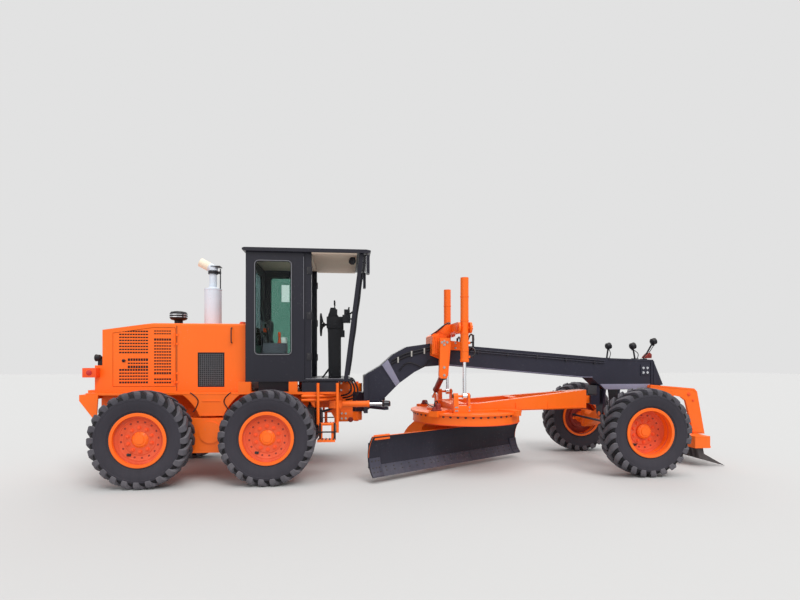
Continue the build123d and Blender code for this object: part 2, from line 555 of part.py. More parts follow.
with BuildPart() as cab_glass:
    with BuildSketch(side()):
        x0, x1 = SCREEN_FOOT - 35, SCREEN_HEAD - 35
        outline(((x0, WALL_Z0), (x0 + GLASS_T, WALL_Z0), (x1 + GLASS_T, WALL_Z1), (x1, WALL_Z1)))
    extrude(amount=CAB_Y, both=True)
    with BuildSketch(across(SCREEN_FOOT - 150)):
        with Locations((0, (WALL_Z0 + WALL_Z1) / 2)):
            RectangleRounded(2 * (CAB_Y - SCREEN_BAR - GAP), WALL_Z1 - WALL_Z0 - 2 * (SCREEN_BAR + GAP), 40 - GAP)
    extrude(amount=500, mode=Mode.INTERSECT)
    x0, x1, z0, z1 = WINDOW
    for y in (-CAB_Y + 18, CAB_Y - 18 + GLASS_T):
        with BuildSketch(side(y)):
            with Locations(((x0 + x1) / 2, (z0 + z1) / 2)):
                RectangleRounded(x1 - x0 - 2 * GAP, z1 - z0 - 2 * GAP, 55 - GAP)
        extrude(amount=GLASS_T)
    with BuildSketch(across(CAB_BACK + 10)):
        with Locations((0, (REAR_WINDOW[1] + REAR_WINDOW[2]) / 2)):
            RectangleRounded(2 * REAR_WINDOW[0] - 2 * GAP, REAR_WINDOW[2] - REAR_WINDOW[1] - 2 * GAP, 55 - GAP)
    extrude(amount=GLASS_T)
save(cab_glass, "cab_glass")

with BuildPart() as seat:
    with BuildSketch(side()):
        outline(((-180, WALL_Z0), (90, WALL_Z0), (60, 1560), (-150, 1560)))
    extrude(amount=140, both=True)
    with BuildSketch(side()):
        outline(((-220, 1560), (130, 1560), (130, 1670), (100, 1690), (-90, 1670), (-180, 2290), (-240, 2290), (-250, 1900), (-235, 1640)))
    extrude(amount=240, both=True)
save(seat, "seat")

WHEEL_HUB = (650.0, 2225.0, 170.0)      # station, height and radius of the steering wheel
WHEEL_RIM = ((-12, -6), (-12, 6), (0, 12), (12, 6), (12, -6), (0, -12))
with BuildPart() as steering_console:
    with BuildSketch(side()):
        outline(((770, WALL_Z0), (960, WALL_Z0), (960, 2100), (1000, 2110), (1000, 2240), (900, 2380), (880, 2480), (800, 2480), (745, 2260), (760, 2080)))
    extrude(amount=130, both=True)
    with BuildSketch(side()):
        outline(((660, WALL_Z0), (690, WALL_Z0), (790, 1530), (790, 1580)))
    extrude(amount=15, both=True)
    rod((650, 0, 2225), (770, 0, 2225), 16)
    # steering wheel, dished towards the driver
    wheel_x, wheel_z, wheel_r = WHEEL_HUB
    with BuildSketch(side()):
        outline(((wheel_x + 62, wheel_z), (wheel_x + 62, wheel_z + 26), (wheel_x + 40, wheel_z + 40), (wheel_x + 30, wheel_z + 40), (wheel_x + 30, wheel_z)))
        outline([(wheel_x + dx, wheel_z + wheel_r + dz) for dx, dz in WHEEL_RIM])
    revolve(axis=Axis((MID_X + wheel_x, 0, wheel_z), (1, 0, 0)))
    for a in (90, 210, 330):
        rod((wheel_x + 40, 0, wheel_z), (wheel_x, wheel_r * cos(radians(a)), wheel_z + wheel_r * sin(radians(a))), 9)
    # control levers
    for y in (-105, -80, -55, 55, 80, 105):
        slab(856, 866, y - 5, y + 5, 2370, 2540)
        slab(850, 872, y - 10, y + 10, 2530, 2580)
save(steering_console, "steering_console")

# ---------------------------------------------------------------- steps, boxes and lamps
STEP_Y = 850.0
STEP_R = 20.0
with BuildPart() as cab_steps:
    for s in (-1, 1):
        for x, foot in ((652, 780), (920, 660)):
            rod((x, s * STEP_Y, foot), (x, s * STEP_Y, 1350), STEP_R)
            slab(x - 20, x + 20, *sorted((s * (DECK_Y + GAP), s * (STEP_Y - 5))), 1192, 1218)
        rod((652, s * STEP_Y, 780), (920, s * STEP_Y, 780), STEP_R)
        for x in (690, 860):
            slab(x - 25, x + 25, *sorted((s * (STEP_Y + 10), s * (STEP_Y + 18))), 575, 790)
        slab(648, 890, *sorted((s * (STEP_Y - 20), s * (STEP_Y + 130))), 550, 578)
save(cab_steps, "cab_steps")

with BuildPart() as frame_boxes:
    for s in (-1, 1):
        for x0, x1 in ((420, 650), (660, 910)):
            slab(x0, x1, *sorted((s * 430, s * 730)), DECK_Z + GAP, FLOOR_Z - FLOOR_T - 10)
    slab(-200, 220, -600, 600, DECK_Z + GAP, FLOOR_Z - FLOOR_T - 5)
save(frame_boxes, "frame_boxes")

with BuildPart() as rear_lamps:
    for s in (-1, 1):
        slab(-2540, -2360, *sorted((s * (HOOD_Y + GAP), s * (HOOD_Y + 110))), 1430, 1560)
        rod((-2548, s * (HOOD_Y + 55), 1495), (-2540, s * (HOOD_Y + 55), 1495), 40)
        slab(-2420, -2360, s * 480 - 12, s * 480 + 12, RUMP[2] + GAP, 1690)
        rod((-2450, s * 480, 1700), (-2370, s * 480, 1700), 50)
save(rear_lamps, "rear_lamps")

# ---------------------------------------------------------------- frame cylinders
for label, s in (("left", 1), ("right", -1)):
    y = s * FRAME_CYL_Y
    with BuildPart() as barrel:
        rod((FRAME_CYL[0] + 48, y, FRAME_CYL_Z), (1380, y, FRAME_CYL_Z), BARREL_R)
        slab(FRAME_CYL[0], FRAME_CYL[0] + 60, y - 28, y + 28, FRAME_CYL_Z - 35, FRAME_CYL_Z + 35)
        rod((FRAME_CYL[0], y, FRAME_CYL_Z - 35), (FRAME_CYL[0], y, FRAME_CYL_Z + 35), 38)
        rod((FRAME_CYL[0], y, FRAME_CYL_Z - 50), (FRAME_CYL[0], y, FRAME_CYL_Z + 50), FRAME_PIN_R + PIN_FIT, mode=Mode.SUBTRACT)
        rod((1000, y, FRAME_CYL_Z), (1380 - GLAND_L, y, FRAME_CYL_Z), ROD_R + ROD_SLACK, mode=Mode.SUBTRACT)
        rod((1000, y, FRAME_CYL_Z), (1381, y, FRAME_CYL_Z), ROD_R + PIN_FIT, mode=Mode.SUBTRACT)
    save(barrel, f"frame_barrel_{label}")
    with BuildPart() as plunger:
        rod((1190, y, FRAME_CYL_Z), (FRAME_CYL[1] - 50, y, FRAME_CYL_Z), ROD_R)
        rod((FRAME_CYL[1], y, FRAME_CYL_Z - 30), (FRAME_CYL[1], y, FRAME_CYL_Z + 30), 62)
        rod((FRAME_CYL[1], y, FRAME_CYL_Z - 40), (FRAME_CYL[1], y, FRAME_CYL_Z + 40), FRAME_PIN_R + EYE_SLACK, mode=Mode.SUBTRACT)
    save(plunger, f"frame_rod_{label}")

# ---------------------------------------------------------------- front frame
AXLE_PIN_Z = 790.0
AXLE_PIN_R = 38.0
TONGUE = (EAR_LOW[1] + 10, EAR_HIGH[0] - 10)
with BuildPart() as front_frame:
    with BuildSketch(side()) as beam_profile:
        outline((*BEAM_TOP, *NOSE, *BEAM_FOOT))
    extrude(amount=BEAM_Y, both=True)
    slab(1310, 1310 + REAR_PLATE_T, -REAR_PLATE_Y, REAR_PLATE_Y, 860, 1430)
    rod((SCAR_X, -BEAM_Y - 1, SCAR_Z), (SCAR_X, BEAM_Y + 1, SCAR_Z), SCAR_PIN_R + PIN_FIT, mode=Mode.SUBTRACT)
    # hinge tongue
    with BuildSketch(level(TONGUE[0])):
        outline(((HINGE_X, -HINGE_EYE_R), (1320, -150), (1320, 150), (HINGE_X, HINGE_EYE_R)))
        with Locations((HINGE_X, 0)):
            Circle(HINGE_EYE_R)
    extrude(amount=TONGUE[1] - TONGUE[0])
    rod((HINGE_X, 0, TONGUE[0] - 1), (HINGE_X, 0, TONGUE[1] + 1), HINGE_PIN_R + PIN_FIT, mode=Mode.SUBTRACT)
    # outriggers for the frame cylinders' rods
    for s in (-1, 1):
        with BuildSketch(level(FRAME_CYL_Z - 90)):
            outline(((1330, s * 200), (1500, s * 165), (1560, s * 160), (FRAME_CYL[1] + 35, s * 500), (FRAME_CYL[1] - 35, s * 535), (1590, s * 520)))
        extrude(amount=40)
        rod((FRAME_CYL[1], s * FRAME_CYL_Y, FRAME_CYL_Z - 90), (FRAME_CYL[1], s * FRAME_CYL_Y, FRAME_CYL_Z + 45), FRAME_PIN_R)
    # pedestal for the front axle
    for x in (FRONT_X - 135, FRONT_X + 105):
        with BuildSketch(across(x)):
            outline(((-165, 1200), (165, 1200), (80, 780), (-80, 780)))
            with Locations((0, 790)):
                Circle(55)
        extrude(amount=30)
    rod((FRONT_X - 140, 0, AXLE_PIN_Z), (FRONT_X + 140, 0, AXLE_PIN_Z), AXLE_PIN_R + PIN_FIT, mode=Mode.SUBTRACT)
    # bracket for the drawbar
    slab(DRAW_X + 60, DRAW_X + 110, -140, 140, 940, 1260)
    slab(DRAW_X - 40, DRAW_X + 70, -140, -100, 960, 1100)
    slab(DRAW_X - 40, DRAW_X + 70, 100, 140, 960, 1100)
    rod((DRAW_X, -140, DRAW_Z), (DRAW_X, 140, DRAW_Z), 30)
save(front_frame, "front_frame")

# ---------------------------------------------------------------- front axle, knuckles, tie rod
KING_Y = TRACK / 2 - 260
KING_R = 25.0
KNUCKLE = (530.0, 740.0)
KNUCKLE_R = 68.0
STEER_ARM = 200.0
TIE_Z = 690.0
TIE_PIN_R = 12.0

with BuildPart() as front_axle:
    with BuildSketch(across(FRONT_X - 100)):
        outline(((-130, 700), (-420, 560), (-640, 490), (-640, 780), (-420, 740), (-150, 860), (150, 860), (420, 740), (640, 780), (640, 490), (420, 560), (130, 700)))
    extrude(amount=200)
    chamfer(front_axle.edges().filter_by(GeomType.LINE).group_by(Axis.X)[0], 15)
    rod((FRONT_X - 139, 0, AXLE_PIN_Z), (FRONT_X + 139, 0, AXLE_PIN_Z), AXLE_PIN_R)
    # waisted ends, which the steering arms swing past
    for s in (-1, 1):
        for x in (FRONT_X - 101, FRONT_X + 62):
            slab(x, x + 39, *sorted((s * (KING_Y - 180), s * (KING_Y - 90))), 400, 800, mode=Mode.SUBTRACT)
    for s in (-1, 1):
        for z0, z1 in ((KNUCKLE[0] - 40, KNUCKLE[0] - GAP), (KNUCKLE[1] + GAP, KNUCKLE[1] + 40)):
            with BuildSketch(level(z0)):
                outline(((FRONT_X - 60, s * 630), (FRONT_X + 60, s * 630), (FRONT_X + 60, s * KING_Y), (FRONT_X - 60, s * KING_Y)))
                with Locations((FRONT_X, s * KING_Y)):
                    Circle(60)
            extrude(amount=z1 - z0)
        rod((FRONT_X, s * KING_Y, KNUCKLE[0] - 50), (FRONT_X, s * KING_Y, KNUCKLE[1] + 50), KING_R + PIN_FIT, mode=Mode.SUBTRACT)
save(front_axle, "front_axle")

with BuildPart() as knuckle_left:
    rod((FRONT_X, KING_Y, KNUCKLE[0]), (FRONT_X, KING_Y, KNUCKLE[1]), KNUCKLE_R)
    rod((FRONT_X, KING_Y, KNUCKLE[0] - 42), (FRONT_X, KING_Y, KNUCKLE[1] + 42), KING_R)
    rod((FRONT_X, KING_Y, TYRE_R), (FRONT_X, TRACK / 2 + 10 - STUB_END_WALL - 10, TYRE_R), STUB_R)
    with BuildSketch(level(TYRE_R - 20)):
        x = FRONT_X - STEER_ARM
        outline(((FRONT_X - 30, KING_Y - 30), (FRONT_X - 30, KING_Y + 30), (x, KING_Y + 22), (x, KING_Y - 22)))
        with Locations((x, KING_Y)):
            Circle(26)
    extrude(amount=34)
    rod((x, KING_Y, TYRE_R), (x, KING_Y, TIE_Z + 20), TIE_PIN_R)
save(knuckle_left, "knuckle_left")

with BuildPart() as knuckle_right:
    mirror(knuckle_left.part, about=Plane.XZ)
save(knuckle_right, "knuckle_right")

with BuildPart() as tie_rod:
    x = FRONT_X - STEER_ARM
    rod((x, -KING_Y + 20, TIE_Z), (x, KING_Y - 20, TIE_Z), 18)
    for s in (-1, 1):
        rod((x, s * KING_Y, TIE_Z - 22), (x, s * KING_Y, TIE_Z + 22), 30)
    for s in (-1, 1):
        rod((x, s * KING_Y, TIE_Z - 30), (x, s * KING_Y, TIE_Z + 30), TIE_PIN_R + PIN_FIT, mode=Mode.SUBTRACT)
save(tie_rod, "tie_rod")

# ---------------------------------------------------------------- lift saddle and cylinders
SADDLE_SIDE = ((2345, 1745), (2560, 1660), (2640, 1720), (2660, 1830), (2920, 1820), (2920, 1945), (2660, 1975), (2560, 2060), (2400, 2085), (2345, 2045))
SADDLE_T = 40.0
BRACKET_Y = 150.0       # half width of the leaning bracket
CROSSBAR = (LIFT_X - 102, LIFT_X + 102, 2105.0, 2235.0)     # ends along the machine, foot, top
CHEEK_Y = 430.0         # inner end of the cheeks
CHEEK_R = 82.0
EAR_X = 72.0            # inner faces of the yoke's cheeks, ahead of and behind the barrel
EAR_T = 30.0
TRUNNION_R = 20.0

with BuildPart() as saddle:
    # clamp round the beam, and the bracket that leans from it up to the crossbar
    with BuildSketch(side()):
        outline(SADDLE_SIDE)
    extrude(amount=BEAM_Y + SADDLE_T, both=True)
    with BuildSketch(side()):
        outline(((2420, 2040), (2560, 1990), (CROSSBAR[0] + 5, CROSSBAR[2]), (CROSSBAR[0] + 5, CROSSBAR[3]), (2600, CROSSBAR[3] - 10), (2440, 2110)))
    extrude(amount=BRACKET_Y, both=True)
    # crossbar over the beam, with a pair of cheeks round each lift cylinder
    slab(CROSSBAR[0], CROSSBAR[1], -CHEEK_Y - 10, CHEEK_Y + 10, CROSSBAR[2], CROSSBAR[3])
    for s in (-1, 1):
        for x in (LIFT_X - EAR_X - EAR_T, LIFT_X + EAR_X):
            with BuildSketch(across(x)):
                outline(((s * CHEEK_Y, CROSSBAR[2] - 25), (s * LIFT_Y, TRUNNION_Z - CHEEK_R), (s * LIFT_Y, TRUNNION_Z + CHEEK_R), (s * CHEEK_Y, CROSSBAR[3])))
                with Locations((s * LIFT_Y, TRUNNION_Z)):
                    Circle(CHEEK_R)
            extrude(amount=EAR_T)
        rod((LIFT_X - 140, s * LIFT_Y, TRUNNION_Z), (LIFT_X + 140, s * LIFT_Y, TRUNNION_Z), TRUNNION_R + PIN_FIT, mode=Mode.SUBTRACT)
    # hanging arm that carries the centre-shift cylinder, on a ribbed block at the side of the clamp
    with BuildSketch(side(-430)):
        outline(((2430, 2000), (2580, 2000), (2600, 1900), (2560, 1440), (2530, 1395), (2455, 1395), (2425, 1440), (2440, 1900)))
    extrude(amount=80)
    slab(2430, 2600, -430, -200, 1800, 1960)
    with BuildSketch(side(-205)):
        outline(((2345, 1760), (2440, 1745), (2440, 2075), (2345, 2045)))
    extrude(amount=160)
    for i in range(3):
        with BuildSketch(side(-360)):
            x = 2352 + 34 * i
            outline(((x, 2035), (x + 16, 2040), (x + 36, 1770), (x + 20, 1770)))
        extrude(amount=22)
    for x0, x1 in ((CS_TOP[0] - 60, CS_TOP[0] - 30 - GAP), (CS_TOP[0] + 30 + GAP, CS_TOP[0] + 60)):
        slab(x0, x1, -440, CS_TOP[1] + 25, CS_TOP[2] - 40, CS_TOP[2] + 40)
    rod((CS_TOP[0] - 60, *CS_TOP[1:]), (CS_TOP[0] + 60, *CS_TOP[1:]), CS_PIN_R)
    with BuildSketch(side()):
        add(beam_profile.sketch_local)
        offset(amount=GAP, kind=Kind.INTERSECTION)
    extrude(amount=BEAM_Y + GAP, both=True, mode=Mode.SUBTRACT)
save(saddle, "saddle")

with BuildPart() as lift_cylinders:
    for s in (-1, 1):
        rod((LIFT_X, s * LIFT_Y, LIFT_BARREL[0]), (LIFT_X, s * LIFT_Y, LIFT_BARREL[1]), LIFT_BARREL_R)
        rod((LIFT_X - EAR_X - EAR_T, s * LIFT_Y, TRUNNION_Z), (LIFT_X + EAR_X + EAR_T, s * LIFT_Y, TRUNNION_Z), TRUNNION_R)
        rod((LIFT_X, s * LIFT_Y, LIFT_BARREL[0] + GLAND_L), (LIFT_X, s * LIFT_Y, LIFT_BARREL[1] - 30), LIFT_ROD_R + ROD_SLACK, mode=Mode.SUBTRACT)
        rod((LIFT_X, s * LIFT_Y, LIFT_BARREL[0] - 1), (LIFT_X, s * LIFT_Y, LIFT_BARREL[1] - 30), LIFT_ROD_R + PIN_FIT, mode=Mode.SUBTRACT)
save(lift_cylinders, "lift_cylinders")

LIFT_PIN_R = 18.0
LIFT_EYE_SLACK = 8.0
with BuildPart() as lift_rods:
    for s in (-1, 1):
        rod((LIFT_X, s * LIFT_Y, LIFT_PIN_Z + 30), (LIFT_X, s * LIFT_Y, LIFT_BARREL[0] + 330), LIFT_ROD_R)
        rod((LIFT_X - 30, s * LIFT_Y, LIFT_PIN_Z), (LIFT_X + 30, s * LIFT_Y, LIFT_PIN_Z), 48)
        rod((LIFT_X - 40, s * LIFT_Y, LIFT_PIN_Z), (LIFT_X + 40, s * LIFT_Y, LIFT_PIN_Z), LIFT_PIN_R + LIFT_EYE_SLACK, mode=Mode.SUBTRACT)
save(lift_rods, "lift_rods")

# ---------------------------------------------------------------- drawbar
DRAW_FOOT = CIRCLE_TOP + GAP
PLATE_T = 32.0
LUG_X = (-100.0, 45.0)     # inner faces of the lugs at each lift pin; the eye slides back along it as the drawbar rises
with BuildPart() as drawbar:
    with BuildSketch(level(DRAW_FOOT)):
        with Locations((CIRCLE_X, 0)):
            Circle(620)
            with PolarLocations(0, 4, start_angle=45):
                Rectangle(920, 150, align=(Align.MIN, Align.CENTER))
            Circle(420, mode=Mode.SUBTRACT)
    extrude(amount=PLATE_T)
    with BuildSketch(level(DRAW_FOOT)) as a_frame:
        outline(((2640, -473), (3100, -480), (4925, -115), (4925, 115), (3100, 480), (2640, 473)))
    extrude(amount=300)
    with BuildSketch(level(DRAW_FOOT + PLATE_T)):
        outline(((2620, -360), (3100, -370), (4600, -65), (4600, 65), (3100, 370), (2620, 360)))
    extrude(amount=300, mode=Mode.SUBTRACT)
    with BuildSketch(level(DRAW_FOOT - 1)):
        outline(((3750, -225), (4600, -55), (4600, 55), (3750, 225)))
    extrude(amount=400, mode=Mode.SUBTRACT)
    with BuildSketch(side()):
        outline(((2400, 1010), (3040, 1016), (4925, 1190), (4925, 1400), (2400, 1400)))
    extrude(amount=700, both=True, mode=Mode.SUBTRACT)
    # tongue and eye of the drawbar hinge
    with BuildSketch(side()):
        outline(((4880, 970), (DRAW_X, 975), (DRAW_X, 1085), (4880, 1110)))
        with Locations((DRAW_X, DRAW_Z)):
            Circle(55)
    extrude(amount=90, both=True)
    rod((DRAW_X, -100, DRAW_Z), (DRAW_X, 100, DRAW_Z), 30 + PIN_FIT, mode=Mode.SUBTRACT)
    # cross-beam with the lift lugs
    slab(LIFT_X + LUG_X[0] - 70, LIFT_X + LUG_X[1] + 50, -660, 660, DRAW_FOOT, 1000)
    for s in (-1, 1):
        for x0, x1 in ((LIFT_X + LUG_X[0] - 70, LIFT_X + LUG_X[0]), (LIFT_X + LUG_X[1], LIFT_X + LUG_X[1] + 30)):
            with BuildSketch(across(x0)):
                outline(((s * LIFT_Y - 60, 990), (s * LIFT_Y + 60, 990), (s * LIFT_Y + 45, LIFT_PIN_Z), (s * LIFT_Y - 45, LIFT_PIN_Z)))
                with Locations((s * LIFT_Y, LIFT_PIN_Z)):
                    Circle(45)
            extrude(amount=x1 - x0)
        rod((LIFT_X + LUG_X[0] - 30, s * LIFT_Y, LIFT_PIN_Z), (LIFT_X + LUG_X[1] + 30, s * LIFT_Y, LIFT_PIN_Z), LIFT_PIN_R)
    # lug ahead of the centre-shift cylinder's eye
    with BuildSketch(across(CS_FOOT[0] + 25 + CS_LUG_GAP)):
        outline(((CS_FOOT[1] - 60, DRAW_FOOT + 10), (CS_FOOT[1] + 60, DRAW_FOOT + 10), (CS_FOOT[1] + 36, CS_FOOT[2]), (CS_FOOT[1] - 36, CS_FOOT[2])))
        with Locations(CS_FOOT[1:]):
            Circle(36)
    extrude(amount=25)
    slab(CS_FOOT[0] + 40, 2660, CS_FOOT[1] - 12, CS_FOOT[1] + 12, DRAW_FOOT + 10, 1000)
    # shoes that hold the circle up
    with BuildSketch(level(CIRCLE_TOP - FLANGE_T - 25)):
        with Locations((CIRCLE_X, 0)):
            with PolarLocations(0, 4, start_angle=45):
                with Locations((CIRCLE_RING_R + 10, 0)):
                    Rectangle(920 - CIRCLE_RING_R - 10, 150, align=(Align.MIN, Align.CENTER))
    extrude(amount=FLANGE_T + 25 + 5)
    with BuildSketch(level(CIRCLE_TOP - FLANGE_T - GAP)):
        with Locations((CIRCLE_X, 0)):
            Circle(CIRCLE_R + 5)
    extrude(amount=FLANGE_T + 2 * GAP, mode=Mode.SUBTRACT)
save(drawbar, "drawbar")

# ---------------------------------------------------------------- circle and blade, drawn square to the blade
DIR = Vector(cos(radians(BLADE_ANGLE)), sin(radians(BLADE_ANGLE)), 0)
NORMAL = Vector(DIR.Y, -DIR.X, 0)
CENTRE = Vector(MID_X + CIRCLE_X, 0, 0)


def blade_plane(along):
    """Plane across the blade: X is ahead of the circle's centre, Y the height; it faces the blade's right end."""
    return Plane(origin=CENTRE + DIR * along, x_dir=NORMAL, z_dir=-DIR)


def blade_rod(n, z, a0, a1, radius, mode=Mode.ADD):
    """Round bar along the blade."""
    with Locations(Plane(origin=blade_plane(a1).from_local_coords((n, z, 0)), z_dir=-DIR)):
        Cylinder(radius, a1 - a0, align=(Align.CENTER, Align.CENTER, Align.MIN), mode=mode)


ARM_TOP = CIRCLE_FOOT - GAP
ARM_PROFILE = (
    (-345, ARM_TOP), (-60, ARM_TOP), (-158, 640), (-158, 395), (PIVOT_N + 60, PIVOT_Z + 30), (PIVOT_N + 60, PIVOT_Z - 30),
    (PIVOT_N, PIVOT_Z - 70), (-120, 275), (-330, 330), (-545, 425), (-600, 475), (-590, 520), (-500, 610),
)
with BuildPart() as circle:
    with BuildSketch(level(CIRCLE_TOP - FLANGE_T)):
        with Locations((CIRCLE_X, 0)):
            Circle(CIRCLE_R)
            Circle(CIRCLE_BORE, mode=Mode.SUBTRACT)
    extrude(amount=FLANGE_T)
    with BuildSketch(level(CIRCLE_FOOT)):
        with Locations((CIRCLE_X, 0)):
            Circle(CIRCLE_RING_R)
            Circle(CIRCLE_RING_R - 60, mode=Mode.SUBTRACT)
    extrude(amount=CIRCLE_TOP - FLANGE_T - CIRCLE_FOOT)
save(circle, "circle")

with BuildPart() as blade_arms:
    for a in (-ARM_A, ARM_A):
        with BuildSketch(blade_plane(a + ARM_T / 2)):
            outline(ARM_PROFILE)
        extrude(amount=ARM_T)
        blade_rod(PIVOT_N, PIVOT_Z, a - ARM_T, a + ARM_T, PIVOT_R + PIN_FIT, mode=Mode.SUBTRACT)
save(blade_arms, "blade_arms")

SHIFT_N, SHIFT_Z = -42.0, 470.0        # line of the side-shift cylinder
BACK_X = (BLADE_FRONT + BLADE_FRONT - 14) / 2
BLADE_MID = (BLADE_FOOT + BLADE_TOP) / 2
with BuildPart() as moldboard:
    near, far = -BLADE_NEAR, BLADE_L - BLADE_NEAR
    with BuildSketch(blade_plane(far)):
        with BuildLine():
            foot, top = (BLADE_FRONT, BLADE_FOOT), (BLADE_FRONT - 14, BLADE_TOP)
            ThreePointArc(foot, (BACK_X - BLADE_SAG, BLADE_MID), top)
            Line(top, (top[0] - BLADE_T, top[1]))
            ThreePointArc((top[0] - BLADE_T, top[1]), (BACK_X - BLADE_SAG - BLADE_T, BLADE_MID), (foot[0] - BLADE_T, foot[1]))
            Line((foot[0] - BLADE_T, foot[1]), foot)
        make_face()
    extrude(amount=BLADE_L)
    # end lugs for the slide bars
    for a in (far - 40, near + 70):
        with BuildSketch(blade_plane(a)):
            outline(((-5, 180), (80, 180), (60, 260), (45, 357), (60, 460), (80, 530), (-5, 530)))
        extrude(amount=30)
    # lug for the side-shift rod
    with BuildSketch(blade_plane(-1480)):
        outline(((60, 400), (60, 525), (SHIFT_N - 33, 525), (SHIFT_N - 33, 430)))
        with Locations((RAIL_N, RAIL_ZS[1])):
            Rectangle(RAIL_S + 2 * GAP, RAIL_S + 2 * GAP, mode=Mode.SUBTRACT)
    extrude(amount=40)
save(moldboard, "moldboard")

with BuildPart() as slide_bars:
    for z in RAIL_ZS:
        with BuildSketch(blade_plane(far - 70 - GAP)):
            with Locations((RAIL_N, z)):
                Rectangle(RAIL_S, RAIL_S)
        extrude(amount=BLADE_L - 140 - 2 * GAP)
save(slide_bars, "slide_bars")

BRACKET_A = (800.0, 850.0)
with BuildPart() as blade_carrier:
    blade_rod(PIVOT_N, PIVOT_Z, -BRACKET_A[1], BRACKET_A[1], PIVOT_R)
    for a0, a1 in ((-BRACKET_A[1], -BRACKET_A[0]), BRACKET_A):
        with BuildSketch(blade_plane(a1)):
            outline(((PIVOT_N - 50, PIVOT_Z - 40), (-20, 170), (55, 170), (55, 540), (-60, 540), (PIVOT_N - 60, SHIFT_Z)))
            with Locations((SHIFT_N, SHIFT_Z)):
                Circle(30, mode=Mode.SUBTRACT)
            with Locations((BACK_X - BLADE_SAG + 400.7, BLADE_MID)):
                Circle(400.7 + BLADE_T + 11, mode=Mode.SUBTRACT)
            for z in RAIL_ZS:
                with Locations((RAIL_N, z)):
                    Rectangle(RAIL_S + 2, RAIL_S + 2, mode=Mode.SUBTRACT)
        extrude(amount=a1 - a0)
    blade_rod(SHIFT_N, SHIFT_Z, -560, 160, 38)
    for a in (-520, 100):
        with BuildSketch(blade_plane(a)):
            outline(((PIVOT_N - 25, PIVOT_Z), (PIVOT_N + 25, PIVOT_Z), (SHIFT_N + 25, SHIFT_Z), (SHIFT_N - 25, SHIFT_Z)))
        extrude(amount=40)
    blade_rod(SHIFT_N, SHIFT_Z, -561, 140, 22 + ROD_SLACK, mode=Mode.SUBTRACT)
save(blade_carrier, "blade_carrier")

with BuildPart() as side_shift_rod:
    blade_rod(SHIFT_N, SHIFT_Z, -1480 + GAP, -440, 22)
save(side_shift_rod, "side_shift_rod")

# ---------------------------------------------------------------- centre-shift cylinder
def cs_point(t):
    """Point on the centre-shift cylinder at a distance from its upper hinge."""
    k = t / CS_LEN
    return (CS_TOP[0], CS_TOP[1] + k * (CS_FOOT[1] - CS_TOP[1]), CS_TOP[2] + k * (CS_FOOT[2] - CS_TOP[2]))


with BuildPart() as shift_barrel:
    rod(cs_point(20), cs_point(90), 26)
    rod(cs_point(80), cs_point(600), BARREL_R)
    rod((CS_TOP[0] - 30, *CS_TOP[1:]), (CS_TOP[0] + 30, *CS_TOP[1:]), 36)
    rod((CS_TOP[0] - 40, *CS_TOP[1:]), (CS_TOP[0] + 40, *CS_TOP[1:]), CS_PIN_R + PIN_FIT, mode=Mode.SUBTRACT)
    rod(cs_point(100), cs_point(600 - GLAND_L), ROD_R + ROD_SLACK, mode=Mode.SUBTRACT)
    rod(cs_point(100), cs_point(601), ROD_R + PIN_FIT, mode=Mode.SUBTRACT)
save(shift_barrel, "shift_barrel")

with BuildPart() as shift_rod:
    rod(cs_point(330), cs_point(CS_LEN - 20), ROD_R)
    rod((CS_FOOT[0] - 25, *CS_FOOT[1:]), (CS_FOOT[0] + 25, *CS_FOOT[1:]), 36)
save(shift_rod, "shift_rod")

# ---------------------------------------------------------------- scarifier
with BuildPart() as scarifier_frame:
    for s in (-1, 1):
        with BuildSketch(side(s * 290)):
            outline(((5900, 1190), (5900, 1278), (6650, 1214), (6700, 1165), (6830, 480), (6640, 480), (6500, 1020), (6420, 1080)))
        extrude(amount=20, both=True)
    slab(6440, 6690, -600, 600, 300, 486)
    rod((SCAR_X, -310, SCAR_Z), (SCAR_X, 310, SCAR_Z), SCAR_PIN_R)
save(scarifier_frame, "scarifier_frame")

with BuildPart() as scarifier_teeth:
    for y in [-520 + i * 104 for i in range(11)]:
        with BuildSketch(side(y)):
            outline(((6520, 299.7), (6620, 299.7), (6640, 200), (6990, 8), (6860, 40), (6560, 130)))
        extrude(amount=15, both=True)
save(scarifier_teeth, "scarifier_teeth")

# ---------------------------------------------------------------- lamps on the nose
def beam_top(x):
    """Height of the beam's upper edge at a station."""
    for (x0, z0), (x1, z1) in zip(BEAM_TOP, BEAM_TOP[1:]):
        if x0 <= x <= x1:
            return max(z0, z1) if x1 - x0 < 1 else z0 + (z1 - z0) * (x - x0) / (x1 - x0)


# foot and head of each lamp: station, side and height of the head
LAMPS = (
    # foot, side, head station, head height
    (5415.0, 130.0, 5444.0, 1911.0),
    (5750.0, -130.0, 5712.0, 1903.0),
    (5985.0, 0.0, 6160.0, 1985.0),
)
LAMP_R = 54.0
with BuildPart() as front_lamps:
    for x, y, head_x, head_z in LAMPS:
        foot = beam_top(x - 45) + GAP
        slab(x - 45, x + 45, y - 30, y + 30, foot, foot + 12)
        rod((x, y, foot + 5), (head_x, y, head_z), 13)
        rod((head_x - 26, y, head_z - 8), (head_x + 26, y, head_z + 8), LAMP_R)
save(front_lamps, "front_lamps")
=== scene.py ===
# %% [markdown]
# # Dressing a motor grader
# A motor grader is a long six-wheeled machine that planes a road with an angled blade hung under its beam. The solids
# of the frame are already the right size, so this lesson only gives them their finish and adds what a solid model
# leaves out: tread, bolts, perforations, gaskets, cushions, pipes and lenses.

